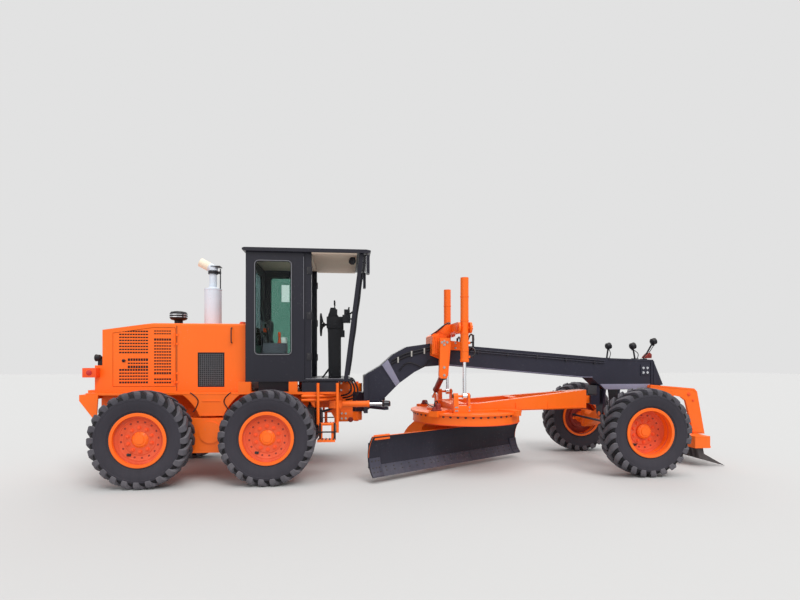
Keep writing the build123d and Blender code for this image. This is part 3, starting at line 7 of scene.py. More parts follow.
# %% The frame
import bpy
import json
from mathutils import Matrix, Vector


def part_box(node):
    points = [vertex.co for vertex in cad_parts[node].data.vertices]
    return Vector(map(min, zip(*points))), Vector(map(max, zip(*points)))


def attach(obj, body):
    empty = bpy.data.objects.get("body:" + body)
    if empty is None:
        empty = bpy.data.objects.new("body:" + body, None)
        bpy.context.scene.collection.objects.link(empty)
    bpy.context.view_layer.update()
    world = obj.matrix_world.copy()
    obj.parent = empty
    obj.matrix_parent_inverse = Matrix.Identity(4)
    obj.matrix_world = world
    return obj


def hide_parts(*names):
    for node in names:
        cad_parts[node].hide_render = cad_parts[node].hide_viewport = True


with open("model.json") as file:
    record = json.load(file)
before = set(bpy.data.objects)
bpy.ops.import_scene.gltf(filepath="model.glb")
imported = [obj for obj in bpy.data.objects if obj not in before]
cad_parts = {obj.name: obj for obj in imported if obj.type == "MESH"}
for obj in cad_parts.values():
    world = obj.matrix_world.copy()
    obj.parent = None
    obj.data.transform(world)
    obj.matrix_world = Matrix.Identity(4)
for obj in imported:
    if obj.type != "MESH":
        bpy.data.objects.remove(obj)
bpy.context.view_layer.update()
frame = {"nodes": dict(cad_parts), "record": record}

# %% [markdown]
# ## Reading places from the frame
# A node's box gives its lowest and highest corner in metres. The middle axle is where the machine was measured from, so
# a station here is a distance ahead of that axle, and `at` turns a station, a side and a height into a point. The
# machine's right side is the -Y side, and +X is ahead. What is alike on both sides is made in one loop over `SIDES`.

# %% Stations
import bpy
import bmesh
from math import cos, pi, radians, sin
from mathutils import Matrix, Vector


def middle(node):
    """Middle of a node's box."""
    low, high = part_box(node)
    return (low + high) / 2


AXLE = middle("rim_mid_right").x
UP = Vector((0, 0, 1))
SIDES = (("left", 1), ("right", -1))       # each side's name and the sign of its y


def at(station, y, z):
    """Point at a station ahead of the middle axle."""
    return Vector((AXLE + station, y, z))


print("middle axle at x =", round(AXLE, 3))

# %% [markdown]
# ## Camera
# The machine is seen from its right side, from a standing person's height and a little behind its middle. A level
# camera keeps the uprights upright. The small shift moves the picture on the sensor without tilting anything.

# %% Camera
camera_data = bpy.data.cameras.new("camera")
camera_data.sensor_width = 36.0        # with the lens, in millimetres
camera_data.lens = 21.36
camera_data.shift_x = 0.0108
camera_data.shift_y = 0.0774
camera = bpy.data.objects.new("camera", camera_data)
camera.location = at(1.041, -7.495, 1.643)
camera.rotation_euler = (pi / 2, 0, -0.0949)
scene = bpy.context.scene
scene.collection.objects.link(camera)
scene.camera = camera
print("camera height:", round(camera.location.z, 3), "m")

# %% [markdown]
# ## Light and stage
# The machine stands as if in an open yard, before plain grey. An even sky does most of the lighting. The sky that the
# camera, a mirror or a pane sees is a second, plain grey: Light Path tells the two apart, so the backdrop's tone never
# adds light to the machine.

# %% Sky and backdrop
SKY = 0.62             # how strongly the even sky lights the machine
BACKDROP = 0.76        # plain grey behind it
scene.view_settings.view_transform = "Standard"
world = bpy.data.worlds.new("yard")
scene.world = world
world.use_nodes = True
nodes, links = world.node_tree.nodes, world.node_tree.links
nodes.clear()
sky = nodes.new("ShaderNodeBackground")
sky.inputs["Color"].default_value = (0.96, 0.98, 1.0, 1)
sky.inputs["Strength"].default_value = SKY
plain = nodes.new("ShaderNodeBackground")
plain.inputs["Color"].default_value = (BACKDROP, BACKDROP, BACKDROP, 1)
path = nodes.new("ShaderNodeLightPath")
seen = path.outputs["Is Camera Ray"]
for ray in ("Is Glossy Ray", "Is Transmission Ray"):
    either = nodes.new("ShaderNodeMath")
    either.operation = "MAXIMUM"
    links.new(seen, either.inputs[0])
    links.new(path.outputs[ray], either.inputs[1])
    seen = either.outputs[0]
blend = nodes.new("ShaderNodeMixShader")
links.new(seen, blend.inputs[0])
links.new(sky.outputs[0], blend.inputs[1])
links.new(plain.outputs[0], blend.inputs[2])
output = nodes.new("ShaderNodeOutputWorld")
links.new(blend.outputs[0], output.inputs["Surface"])
print("sky strength:", SKY, "backdrop:", BACKDROP)

# %% [markdown]
# One wide sun from behind the camera gives the forms a brighter top and a soft shadow. A weaker one lifts the shaded
# ends, one behind the machine lights the cab's inside and its far edges, and one overhead draws the level faces.

# %% Suns
SUNS = (
    # name, strength, spread in degrees, height above the horizon, turn from straight behind the camera
    ("sun_key", 1.55, 28, 48, 28),
    ("sun_fill", 0.55, 60, 20, -35),
    ("sun_far_side", 0.8, 60, 35, 165),
    ("sun_overhead", 1.0, 40, 84, 10),
)
for name, strength, spread, height, turn in SUNS:
    data = bpy.data.lights.new(name, "SUN")
    data.energy = strength
    data.angle = radians(spread)
    data.color = (1.0, 0.985, 0.96)
    lamp = bpy.data.objects.new(name, data)
    lamp.rotation_euler = (radians(90 - height), 0, radians(turn))
    scene.collection.objects.link(lamp)
print("suns:", len(SUNS))

# %% [markdown]
# The floor's colour is chosen so that, lit, it meets the backdrop's tone, and only the machine's shadow shows on it.

# %% Floor
FLOOR = 0.54
HALF_YARD = 60
floor_mesh = bpy.data.meshes.new("yard_floor")
yard_corners = [(x * HALF_YARD, y * HALF_YARD, 0) for x, y in ((-1, -1), (1, -1), (1, 1), (-1, 1))]
floor_mesh.from_pydata(yard_corners, [], [(0, 1, 2, 3)])
floor = bpy.data.objects.new("yard_floor", floor_mesh)
scene.collection.objects.link(floor)
floor_finish = bpy.data.materials.new("yard_floor")
floor_finish.use_nodes = True
surface = floor_finish.node_tree.nodes["Principled BSDF"]
surface.inputs["Base Color"].default_value = (FLOOR, FLOOR, FLOOR, 1)
surface.inputs["Roughness"].default_value = 1.0
surface.inputs["Specular IOR Level"].default_value = 0.0
floor_mesh.materials.append(floor_finish)
print("floor:", 2 * HALF_YARD, "m wide")

# %% [markdown]
# ## Shared effects
# Paint in a yard is never one flat colour: it has slow mottling, a faint orange-peel skin, rubbed spots where metal
# shows and dust that settles on what faces up and near the ground. These effects are the same on every painted part, so
# they are one node group, with the amounts as inputs. It reads Object coordinates, which are metres on every piece
# here. A few helpers come first, because a node with its inputs filled is one line then.

# %% Node helpers


def socket_maker(tree):
    """Short way to give a node group its named sockets."""
    def make(name, kind, way="INPUT", value=None):
        made = tree.interface.new_socket(name=name, in_out=way, socket_type=kind)
        if value is not None:
            made.default_value = value
    return make


def math_node(tree, operation, first, second=None, clamp=False):
    """A Math node with its inputs filled by numbers or by other nodes' outputs."""
    node = tree.nodes.new("ShaderNodeMath")
    node.operation = operation
    node.use_clamp = clamp
    for place, value in ((0, first), (1, second)):
        if value is None:
            continue
        if isinstance(value, (int, float)):
            node.inputs[place].default_value = value
        else:
            tree.links.new(value, node.inputs[place])
    return node.outputs[0]


def noise_node(tree, vector, scale, detail=4.0, stretch=None):
    """Noise on the given coordinates; stretch turns round specks into streaks."""
    if stretch is not None:
        mapping = tree.nodes.new("ShaderNodeMapping")
        mapping.inputs["Scale"].default_value = stretch
        tree.links.new(vector, mapping.inputs["Vector"])
        vector = mapping.outputs[0]
    node = tree.nodes.new("ShaderNodeTexNoise")
    node.inputs["Detail"].default_value = detail
    if isinstance(scale, (int, float)):
        node.inputs["Scale"].default_value = scale
    else:
        tree.links.new(scale, node.inputs["Scale"])
    tree.links.new(vector, node.inputs["Vector"])
    return node.outputs["Fac"]


def mix_colour(tree, amount, first, second):
    """Mix of two colours; each is a socket or four numbers."""
    node = tree.nodes.new("ShaderNodeMix")
    node.data_type = "RGBA"
    for name, value in (("Factor", amount), ("A", first), ("B", second)):
        target = next(s for s in node.inputs if s.name == name and (name == "Factor" or s.type == "RGBA"))
        if isinstance(value, (int, float, tuple)):
            target.default_value = value
        else:
            tree.links.new(value, target)
    return next(s for s in node.outputs if s.type == "RGBA")


def range_node(tree, value, low, high, to_low=0.0, to_high=1.0):
    """Stretches a band of values to another band, with both ends held."""
    node = tree.nodes.new("ShaderNodeMapRange")
    tree.links.new(value, node.inputs["Value"])
    for name, number in (("From Min", low), ("From Max", high), ("To Min", to_low), ("To Max", to_high)):
        node.inputs[name].default_value = number
    return node.outputs[0]


print("helpers: math, noise, colour mix and range nodes")

# %% [markdown]
# The group's inputs are the paint, what lies under and over it, and the amounts of wear. Each of its outputs feeds the
# input of the same name in a finish's shader.

# %% Node group: sockets
yard_wear = bpy.data.node_groups.new("yard_wear", "ShaderNodeTree")
make = socket_maker(yard_wear)
WEAR_INPUTS = (
    ("Paint", "NodeSocketColor", (0.8, 0.8, 0.8, 1)),
    ("Bare", "NodeSocketColor", (0.25, 0.24, 0.23, 1)),
    ("Dust", "NodeSocketColor", (0.45, 0.37, 0.28, 1)),
    ("Mottle", "NodeSocketFloat", 0.06),
    ("Chips", "NodeSocketFloat", 0.2),
    ("Dust Amount", "NodeSocketFloat", 0.2),
    ("Gloss Low", "NodeSocketFloat", 0.3),
    ("Gloss High", "NodeSocketFloat", 0.5),
)
for name, kind, value in WEAR_INPUTS:
    make(name, kind, value=value)
make("Color", "NodeSocketColor", "OUTPUT")
for name in ("Roughness", "Metallic", "Height"):
    make(name, "NodeSocketFloat", "OUTPUT")
wear_in = yard_wear.nodes.new("NodeGroupInput").outputs
wear_out = yard_wear.nodes.new("NodeGroupOutput").inputs


def calc(operation, first, second=None, clamp=False):
    """Math node in the yard_wear group."""
    return math_node(yard_wear, operation, first, second, clamp)


print("yard_wear sockets:", len(yard_wear.interface.items_tree))

# %% [markdown]
# A slow noise and a stretched one make the blotches and rain streaks that shift the paint's brightness a little. Rubbed
# specks of bare metal gather where a fine and a slow noise are both high.

# %% Node group: mottling and rubbed specks
coordinates = yard_wear.nodes.new("ShaderNodeTexCoord").outputs["Object"]
slow = noise_node(yard_wear, coordinates, 2.3)
fine = noise_node(yard_wear, coordinates, 38.0, 6.0)
streaks = noise_node(yard_wear, coordinates, 3.0, 5.0, (6.0, 6.0, 0.5))
blotch = calc("ADD", calc("MULTIPLY", slow, 0.6), calc("MULTIPLY", streaks, 0.4))
sway = calc("MULTIPLY", calc("SUBTRACT", blotch, 0.5), 2.0)
shade = calc("ADD", 1.0, calc("MULTIPLY", sway, wear_in["Mottle"]))
brighter = yard_wear.nodes.new("ShaderNodeVectorMath")
brighter.operation = "SCALE"
yard_wear.links.new(wear_in["Paint"], brighter.inputs[0])
yard_wear.links.new(shade, brighter.inputs["Scale"])
specks = calc("MULTIPLY", range_node(yard_wear, fine, 0.60, 0.68), range_node(yard_wear, slow, 0.50, 0.62))
chipped = calc("MULTIPLY", specks, wear_in["Chips"], clamp=True)
worn = mix_colour(yard_wear, chipped, brighter.outputs[0], wear_in["Bare"])
yard_wear.links.new(calc("MULTIPLY", chipped, 0.8), wear_out["Metallic"])
print("yard_wear nodes so far:", len(yard_wear.nodes))

# %% [markdown]
# Dust lies on what faces up and on everything low, more of it where the blotches are pale, and it dulls the gloss. A
# very fine noise is the paint's orange-peel skin, and each speck is a small pit in it.

# %% Node group: dust, gloss and skin
facing = yard_wear.nodes.new("ShaderNodeSeparateXYZ")
yard_wear.links.new(yard_wear.nodes.new("ShaderNodeNewGeometry").outputs["Normal"], facing.inputs[0])
place = yard_wear.nodes.new("ShaderNodeSeparateXYZ")
yard_wear.links.new(coordinates, place.inputs[0])
upward = range_node(yard_wear, facing.outputs["Z"], 0.3, 1.0, 0.0, 0.7)
low_down = range_node(yard_wear, place.outputs["Z"], 0.0, 1.1, 0.8, 0.0)
lying = calc("MULTIPLY", calc("ADD", upward, low_down), range_node(yard_wear, blotch, 0.35, 0.75, 0.3, 1.0))
dusty = calc("MULTIPLY", lying, wear_in["Dust Amount"], clamp=True)
yard_wear.links.new(mix_colour(yard_wear, dusty, worn, wear_in["Dust"]), wear_out["Color"])
span = calc("SUBTRACT", wear_in["Gloss High"], wear_in["Gloss Low"])
gloss = calc("ADD", wear_in["Gloss Low"], calc("MULTIPLY", span, blotch))
yard_wear.links.new(calc("ADD", gloss, calc("MULTIPLY", dusty, 0.5), clamp=True), wear_out["Roughness"])
skin = noise_node(yard_wear, coordinates, 260.0, 2.0)
height = calc("SUBTRACT", calc("MULTIPLY", skin, 0.15), calc("MULTIPLY", chipped, 0.5))
yard_wear.links.new(height, wear_out["Height"])
print("yard_wear nodes:", len(yard_wear.nodes))

# %% [markdown]
# ## Finishes
# Each finish is its own material: its shader and its constant values are here, and the shared group feeds the values
# that change over the surface. Colours are linear. Machine orange is strong and slightly red, the front frame is a
# blue-black, and cast arms and pins are a duller red oxide, which on the centre-shift cylinder also paints the beam's
# shadow. Rubber is a warm dark grey that dust makes paler.

# %% Painted finish
finishes = {}
BARE_METAL = (0.3, 0.29, 0.28, 1)


def painted(name, paint, gloss, mottle, chips, dust, metal=False, coat=0.0, bump=0.25,
            dust_colour=(0.50, 0.40, 0.30, 1), specular=0.28):
    """Material whose colour, roughness and skin come from yard_wear; gloss is its lowest and highest roughness."""
    material = bpy.data.materials.new(name)
    material.use_nodes = True
    tree = material.node_tree
    shader = tree.nodes["Principled BSDF"]
    group = tree.nodes.new("ShaderNodeGroup")
    group.node_tree = yard_wear
    values = {"Paint": (*paint, 1), "Bare": BARE_METAL, "Dust": dust_colour, "Mottle": mottle, "Chips": chips,
              "Dust Amount": dust, "Gloss Low": gloss[0], "Gloss High": gloss[1]}
    for socket, value in values.items():
        group.inputs[socket].default_value = value
    tree.links.new(group.outputs["Color"], shader.inputs["Base Color"])
    tree.links.new(group.outputs["Roughness"], shader.inputs["Roughness"])
    if metal:
        shader.inputs["Metallic"].default_value = 1.0
    else:
        tree.links.new(group.outputs["Metallic"], shader.inputs["Metallic"])
    bumped = tree.nodes.new("ShaderNodeBump")
    bumped.inputs["Strength"].default_value = bump
    bumped.inputs["Distance"].default_value = 0.002
    tree.links.new(group.outputs["Height"], bumped.inputs["Height"])
    tree.links.new(bumped.outputs[0], shader.inputs["Normal"])
    shader.inputs["Specular IOR Level"].default_value = specular
    shader.inputs["Coat Weight"].default_value = coat
    shader.inputs["Coat Roughness"].default_value = 0.12
    finishes[name] = material


print("helper: painted")

# %% [markdown]
# Most finishes differ only in colour, gloss and wear, so they are rows of a table. Rubber, cloth and lenses need a
# rougher skin, another dust or a stronger reflection, and are made one by one below it.

# %% Table of finishes
PAINTS = (
    # name, linear colour, roughness low and high, mottle, chips, dust, bare metal underneath, clear coat
    ("orange", (0.94, 0.148, 0.008), (0.34, 0.52), 0.09, 0.12, 0.06, False, 0.05),
    ("orange_red", (0.86, 0.085, 0.014), (0.36, 0.52), 0.09, 0.12, 0.08, False, 0.05),
    # rim_face: orange darkened and reddened, as dirt and as painted shade of the recessed disc
    ("rim_face", (0.74, 0.082, 0.020), (0.42, 0.60), 0.30, 0.30, 0.25, False, 0.0),
    # rim_inner: the rim's red darkened, as painted shade inside the drum and in the vent holes
    ("rim_inner", (0.26, 0.024, 0.016), (0.45, 0.62), 0.30, 0.20, 0.15, False, 0.0),
    ("charcoal", (0.0110, 0.0105, 0.0190), (0.34, 0.50), 0.20, 0.05, 0.05, False, 0.10),
    ("beam_charcoal", (0.0170, 0.0165, 0.0310), (0.34, 0.50), 0.30, 0.05, 0.05, False, 0.10),
    ("band_grey", (0.24, 0.23, 0.32), (0.40, 0.56), 0.12, 0.20, 0.10, False, 0.0),
    ("blade_steel", (0.0130, 0.0130, 0.0260), (0.36, 0.56), 0.60, 0.15, 0.04, False, 0.0),
    ("edge_steel", (0.042, 0.043, 0.070), (0.34, 0.55), 0.55, 0.35, 0.08, False, 0.0),
    ("tooth_steel", (0.040, 0.038, 0.046), (0.40, 0.62), 0.30, 0.60, 0.20, False, 0.0),
    ("iron", (0.022, 0.021, 0.026), (0.42, 0.60), 0.20, 0.30, 0.15, False, 0.0),
    # red_oxide: a dark red; on the centre-shift cylinder it is also painted shade of the beam's shadow
    ("red_oxide", (0.22, 0.022, 0.016), (0.40, 0.60), 0.15, 0.20, 0.10, False, 0.0),
    ("black_plastic", (0.010, 0.010, 0.014), (0.42, 0.58), 0.12, 0.00, 0.10, False, 0.0),
    ("grille_black", (0.0075, 0.0075, 0.0105), (0.45, 0.60), 0.15, 0.10, 0.08, False, 0.0),
    ("wire_grey", (0.165, 0.165, 0.180), (0.38, 0.52), 0.15, 0.20, 0.10, False, 0.0),
    ("chrome", (0.80, 0.81, 0.84), (0.10, 0.22), 0.05, 0.00, 0.00, True, 0.0),
    ("exhaust_steel", (0.69, 0.75, 0.84), (0.34, 0.50), 0.10, 0.20, 0.04, False, 0.0),
    ("cream", (0.90, 0.78, 0.62), (0.40, 0.55), 0.12, 0.10, 0.05, False, 0.0),
    ("bolt_zinc", (0.50, 0.48, 0.45), (0.28, 0.45), 0.15, 0.20, 0.15, True, 0.0),
    ("seat_grey", (0.105, 0.100, 0.135), (0.42, 0.58), 0.12, 0.05, 0.10, False, 0.0),
    # pale grey: a painted highlight on the window bead and the doorway's hinged edge, and bare metal on the sill
    ("bead_pale", (0.26, 0.26, 0.29), (0.35, 0.50), 0.30, 0.30, 0.10, False, 0.0),
    ("card_white", (0.94, 0.94, 0.94), (0.50, 0.65), 0.05, 0.00, 0.05, False, 0.0),
)
for name, colour, gloss, mottle, chips, dust, metal, coat in PAINTS:
    painted(name, colour, gloss, mottle, chips, dust, metal=metal, coat=coat)
painted("tyre", (0.0300, 0.0275, 0.0370), (0.60, 0.82), 0.35, 0.0, 0.30, bump=0.6, dust_colour=(0.115, 0.105, 0.120, 1))
# the grooved crown between the bars: near black, as painted shade of the deep grooves
painted("tyre_groove", (0.0090, 0.0085, 0.0110), (0.70, 0.85), 0.30, 0.0, 0.10, bump=0.6,
        dust_colour=(0.060, 0.055, 0.060, 1))
painted("tyre_tread", (0.0560, 0.0530, 0.0660), (0.50, 0.76), 0.55, 0.0, 0.55, bump=0.8,
        dust_colour=(0.290, 0.270, 0.285, 1))
painted("headliner", (0.66, 0.53, 0.43), (0.7, 0.85), 0.10, 0.0, 0.0, bump=0.4)
painted("seat_cover", (0.016, 0.016, 0.022), (0.45, 0.62), 0.15, 0.0, 0.10, bump=0.5)
painted("lamp_red", (0.50, 0.012, 0.014), (0.12, 0.2), 0.05, 0.0, 0.05, specular=0.5)
painted("lamp_clear", (0.75, 0.77, 0.78), (0.06, 0.14), 0.05, 0.0, 0.05, specular=0.5)
print("finishes:", len(finishes))

# %% [markdown]
# Cab glass is flat tinted sheet: clear head-on, with the sky's grey in it at a slant. A Principled shader with full
# transmission does that, and a slight green in its colour is the tint. Smears in its roughness keep it from looking
# absent. Sun film is a coloured sheet stuck to a pane, and a tracing card is a white one. Both are bright because
# daylight comes through them, so they transmit fully too, with hardly any bend. Light meets a sheet's colour twice,
# going in and out.

# %% Glass, and sheets that daylight comes through
SHEETS = (
    # name, linear colour, index of refraction, scale of the smears, band of their noise, roughness low and high
    ("glass", (0.78, 0.90, 0.86), 1.15, 6.0, (0.4, 0.8), (0.01, 0.07)),
    ("sun_film", (0.155, 0.30, 0.25), 1.02, 9.0, (0.3, 0.8), (0.05, 0.10)),
    ("sun_film_pale", (0.21, 0.27, 0.29), 1.02, 9.0, (0.3, 0.8), (0.05, 0.10)),
    ("backlit_card", (0.97, 0.97, 0.97), 1.02, 9.0, (0.3, 0.8), (0.225, 0.45)),
)
for name, tint, bend, scale, band, rough in SHEETS:
    sheet = bpy.data.materials.new(name)
    sheet.use_nodes = True
    tree = sheet.node_tree
    shader = tree.nodes["Principled BSDF"]
    shader.inputs["Base Color"].default_value = (*tint, 1)
    shader.inputs["Transmission Weight"].default_value = 1.0
    shader.inputs["IOR"].default_value = bend
    smears = noise_node(tree, tree.nodes.new("ShaderNodeTexCoord").outputs["Object"], scale)
    tree.links.new(range_node(tree, smears, *band, *rough), shader.inputs["Roughness"])
    finishes[name] = sheet
print("sheets:", len(SHEETS))

# %% [markdown]
# ## Every solid gets its finish
# The record says which material slot each node was made for. The slots have the same names as the finishes above, so
# one loop dresses all the solids. The long beam ahead of the hinge is a slightly bluer charcoal than the rest.

# %% Dress the solids
SLOT_OF = {row["node"]: row["material_slot"] for row in frame["record"]["subparts"]}
for name, node in frame["nodes"].items():
    node.data.materials.clear()
    node.data.materials.append(finishes[SLOT_OF[name]])
frame["nodes"]["front_frame"].data.materials[0] = finishes["beam_charcoal"]
print("dressed:", len(SLOT_OF))

# %% [markdown]
# ## A small workbench for mesh pieces
# Fabricated machinery is cut plate, turned parts and bent tube, so a few mesh tools cover nearly everything: a prism
# from an outline, a turned profile, a hoop and a round bar. `Workpiece` gathers such forms in one mesh, breaks their
# sharp edges so they catch the light as real ones do, and puts the finished piece on its body with its finish.

# %% Workbench


class Workpiece:
    """Gathers simple forms in one mesh, in the frame's own place."""

    def __init__(self):
        self.mesh = bmesh.new()

    def prism(self, corners, depth):
        """Plate: its outline as 3-D corners, and the vector of its thickness."""
        near = [self.mesh.verts.new(c) for c in corners]
        far = [self.mesh.verts.new(Vector(c) + Vector(depth)) for c in corners]
        self.mesh.faces.new(near)
        self.mesh.faces.new(reversed(far))
        for i in range(len(near)):
            self.mesh.faces.new((near[i - 1], far[i - 1], far[i], near[i]))
        return self

    def block(self, low, high):
        """Rectangular bar between two corners."""
        (x0, y0, z0), (x1, y1, z1) = low, high
        return self.prism([(x0, y0, z0), (x1, y0, z0), (x1, y1, z0), (x0, y1, z0)], (0, 0, z1 - z0))

    def side_plate(self, outline, y, thickness):
        """Plate seen from the side: outline of stations and heights in metres."""
        return self.prism([at(s, y, z) for s, z in outline], (0, thickness, 0))

    def turned(self, centre, axis, profile, steps=32, closed=False):
        """Turned part: profile of distances along the axis and radii."""
        axis = Vector(axis).normalized()
        across = axis.orthogonal().normalized()
        other = axis.cross(across)
        rings = []
        for along, radius in profile:
            heart = Vector(centre) + axis * along
            if radius < 1e-6:
                rings.append([self.mesh.verts.new(heart)])
                continue
            turn = [2 * pi * i / steps for i in range(steps)]
            rings.append([self.mesh.verts.new(heart + (across * cos(a) + other * sin(a)) * radius) for a in turn])
        pairs = list(zip(rings, rings[1:])) + ([(rings[-1], rings[0])] if closed else [])
        for first, second in pairs:
            for i in range(steps):
                corners = [first[i - 1 if len(first) > 1 else 0], first[i if len(first) > 1 else 0],
                           second[i if len(second) > 1 else 0], second[i - 1 if len(second) > 1 else 0]]
                kept = list(dict.fromkeys(corners))
                if len(kept) > 2:
                    self.mesh.faces.new(kept)
        return self

    def hoop(self, centre, axis, start, end, inner, outer, steps):
        """Ring of rectangular section, from start to end along the axis."""
        return self.turned(centre, axis, [(start, inner), (start, outer), (end, outer), (end, inner)], steps,
                           closed=True)

    def bar(self, start, end, radius, steps=16):
        """Round bar with flat ends."""
        length = (Vector(end) - Vector(start)).length
        return self.turned(start, Vector(end) - Vector(start), [(0, 0), (0, radius), (length, radius), (length, 0)],
                           steps)

    def mesh_data(self, name, soft=0.0, smooth_under=35):
        """Finished mesh: edges broken by soft metres, and shaded smooth where it turns gently."""
        bmesh.ops.remove_doubles(self.mesh, verts=self.mesh.verts, dist=1e-6)
        bmesh.ops.recalc_face_normals(self.mesh, faces=self.mesh.faces)
        if soft:
            sharp = [e for e in self.mesh.edges if len(e.link_faces) == 2 and e.calc_face_angle(0) > radians(35)]
            bmesh.ops.bevel(self.mesh, geom=sharp, offset=soft, segments=2, affect="EDGES", profile=0.6,
                            clamp_overlap=True)
        for face in self.mesh.faces:
            face.smooth = True
        for edge in self.mesh.edges:
            edge.smooth = len(edge.link_faces) == 2 and edge.calc_face_angle(0) < radians(smooth_under)
        data = bpy.data.meshes.new(name)
        self.mesh.to_mesh(data)
        self.mesh.free()
        return data

    def done(self, name, body, finish, soft=0.0):
        """Piece on its body, with its finish."""
        return place_piece(name, self.mesh_data(name, soft), body, finish)


print("forms: prism, block, side_plate, turned, hoop, bar")

# %% [markdown]
# A finished mesh becomes an object that rides on its body, with its finish as its only material.


def place_piece(name, data, body, finish):
    """Object for a finished mesh: it rides on a body and takes a finish."""
    piece = bpy.data.objects.new(name, data)
    scene.collection.objects.link(piece)
    data.materials.clear()
    data.materials.append(finishes[finish])
    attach(piece, body)
    return piece


# %% [markdown]
# ## Two repeating trees
# Most of what repeats on the machine is either a ring (lugs, wheel nuts, flange bolts) or a grid (slots, mesh wires,
# bolt rows). Geometry Nodes make each from one unit: a line of points, an instance on every point, and a rule for its
# turn or its place. The trees end in Realize Instances and Set Material, so what comes out is plain mesh.

# %% Parts of both trees


def start_tree(name, sockets):
    """Geometry tree with a Unit input, the named sockets of the given kinds and a Material."""
    tree = bpy.data.node_groups.new(name, "GeometryNodeTree")
    add_socket = socket_maker(tree)
    add_socket("Unit", "NodeSocketGeometry")
    for socket, kind in sockets:
        add_socket(socket, f"NodeSocket{kind}")
    add_socket("Finish", "NodeSocketMaterial")
    add_socket("Pieces", "NodeSocketGeometry", "OUTPUT")
    return tree, tree.nodes.new("NodeGroupInput")


def end_tree(tree, given, instances):
    """Realize Instances and Set Material, then the output."""
    real = tree.nodes.new("GeometryNodeRealizeInstances")
    dressed = tree.nodes.new("GeometryNodeSetMaterial")
    tree.links.new(instances, real.inputs[0])
    tree.links.new(real.outputs[0], dressed.inputs["Geometry"])
    tree.links.new(given.outputs["Finish"], dressed.inputs["Material"])
    tree.links.new(dressed.outputs[0], tree.nodes.new("NodeGroupOutput").inputs[0])


def points_line(tree, given, count):
    """As many points as asked, and an instance of the unit on each."""
    line = tree.nodes.new("GeometryNodeMeshLine")
    tree.links.new(count, line.inputs["Count"])
    placed = tree.nodes.new("GeometryNodeInstanceOnPoints")
    tree.links.new(given.outputs["Unit"], placed.inputs["Instance"])
    return line, placed


print("helpers: start_tree, points_line, end_tree")

# %% [markdown]
# The ring puts every instance at the ring's centre and only turns it about the axis, so its unit is modelled at its
# place beside the axis.

# %% Ring tree
ring_tree, given = start_tree("ring_of", (("Count", "Int"), ("Centre", "Vector"), ("Axis", "Vector"),
                                          ("First Angle", "Float")))
line, placed = points_line(ring_tree, given, given.outputs["Count"])
index = ring_tree.nodes.new("GeometryNodeInputIndex").outputs[0]
turn = math_node(ring_tree, "MULTIPLY", math_node(ring_tree, "DIVIDE", index, given.outputs["Count"]), 2 * pi)
turned_to = ring_tree.nodes.new("FunctionNodeAxisAngleToRotation")
ring_tree.links.new(given.outputs["Axis"], turned_to.inputs["Axis"])
ring_tree.links.new(math_node(ring_tree, "ADD", turn, given.outputs["First Angle"]), turned_to.inputs["Angle"])
moved = ring_tree.nodes.new("GeometryNodeSetPosition")
ring_tree.links.new(line.outputs[0], moved.inputs["Geometry"])
ring_tree.links.new(given.outputs["Centre"], moved.inputs["Position"])
ring_tree.links.new(moved.outputs[0], placed.inputs["Points"])
ring_tree.links.new(turned_to.outputs[0], placed.inputs["Rotation"])
end_tree(ring_tree, given, placed.outputs[0])
print("ring tree nodes:", len(ring_tree.nodes))

# %% [markdown]
# The grid counts its columns and rows from the index, and adds a step for each to the start.

# %% Grid tree
grid_tree, given = start_tree("grid_of", (("Columns", "Int"), ("Rows", "Int"), ("Start", "Vector"),
                                          ("Column Step", "Vector"), ("Row Step", "Vector")))
total = math_node(grid_tree, "MULTIPLY", given.outputs["Columns"], given.outputs["Rows"])
line, placed = points_line(grid_tree, given, total)
index = grid_tree.nodes.new("GeometryNodeInputIndex").outputs[0]
column = math_node(grid_tree, "MODULO", index, given.outputs["Columns"])
row = math_node(grid_tree, "FLOOR", math_node(grid_tree, "DIVIDE", index, given.outputs["Columns"]))
shift = given.outputs["Start"]
for number, step in ((column, "Column Step"), (row, "Row Step")):
    scaled = grid_tree.nodes.new("ShaderNodeVectorMath")
    scaled.operation = "SCALE"
    grid_tree.links.new(given.outputs[step], scaled.inputs[0])
    grid_tree.links.new(number, scaled.inputs["Scale"])
    summed = grid_tree.nodes.new("ShaderNodeVectorMath")
    grid_tree.links.new(shift, summed.inputs[0])
    grid_tree.links.new(scaled.outputs[0], summed.inputs[1])
    shift = summed.outputs[0]
moved = grid_tree.nodes.new("GeometryNodeSetPosition")
grid_tree.links.new(line.outputs[0], moved.inputs["Geometry"])
grid_tree.links.new(shift, moved.inputs["Position"])
grid_tree.links.new(moved.outputs[0], placed.inputs["Points"])
end_tree(grid_tree, given, placed.outputs[0])
print("grid tree nodes:", len(grid_tree.nodes))

# %% [markdown]
# A tree runs on a carrier object, and what it makes is kept as a plain mesh. Several such meshes can be joined in one
# piece.

# %% Repeating and joining


def repeat(tree, unit, finish, **values):
    """Plain mesh of a unit repeated by a tree; each value goes to the input of that name."""
    carrier = bpy.data.objects.new("carrier", unit)
    scene.collection.objects.link(carrier)
    modifier = carrier.modifiers.new("repeat", "NODES")
    modifier.node_group = tree
    values["Finish"] = finishes[finish]
    for item in tree.interface.items_tree:
        name = item.name.replace(" ", "_")
        if item.in_out == "INPUT" and name in values:
            value = values[name]
            modifier[item.identifier] = tuple(value) if isinstance(value, Vector) else value
    evaluated = carrier.evaluated_get(bpy.context.evaluated_depsgraph_get())
    data = bpy.data.meshes.new_from_object(evaluated)
    carrier.modifiers.remove(modifier)
    bpy.data.objects.remove(carrier)
    return data


def joined(*meshes):
    """One mesh from several, with each one's shading kept."""
    whole = bmesh.new()
    for data in meshes:
        whole.from_mesh(data)
    result = bpy.data.meshes.new("joined")
    whole.to_mesh(result)
    whole.free()
    return result


print("repeated by:", ring_tree.name, grid_tree.name)
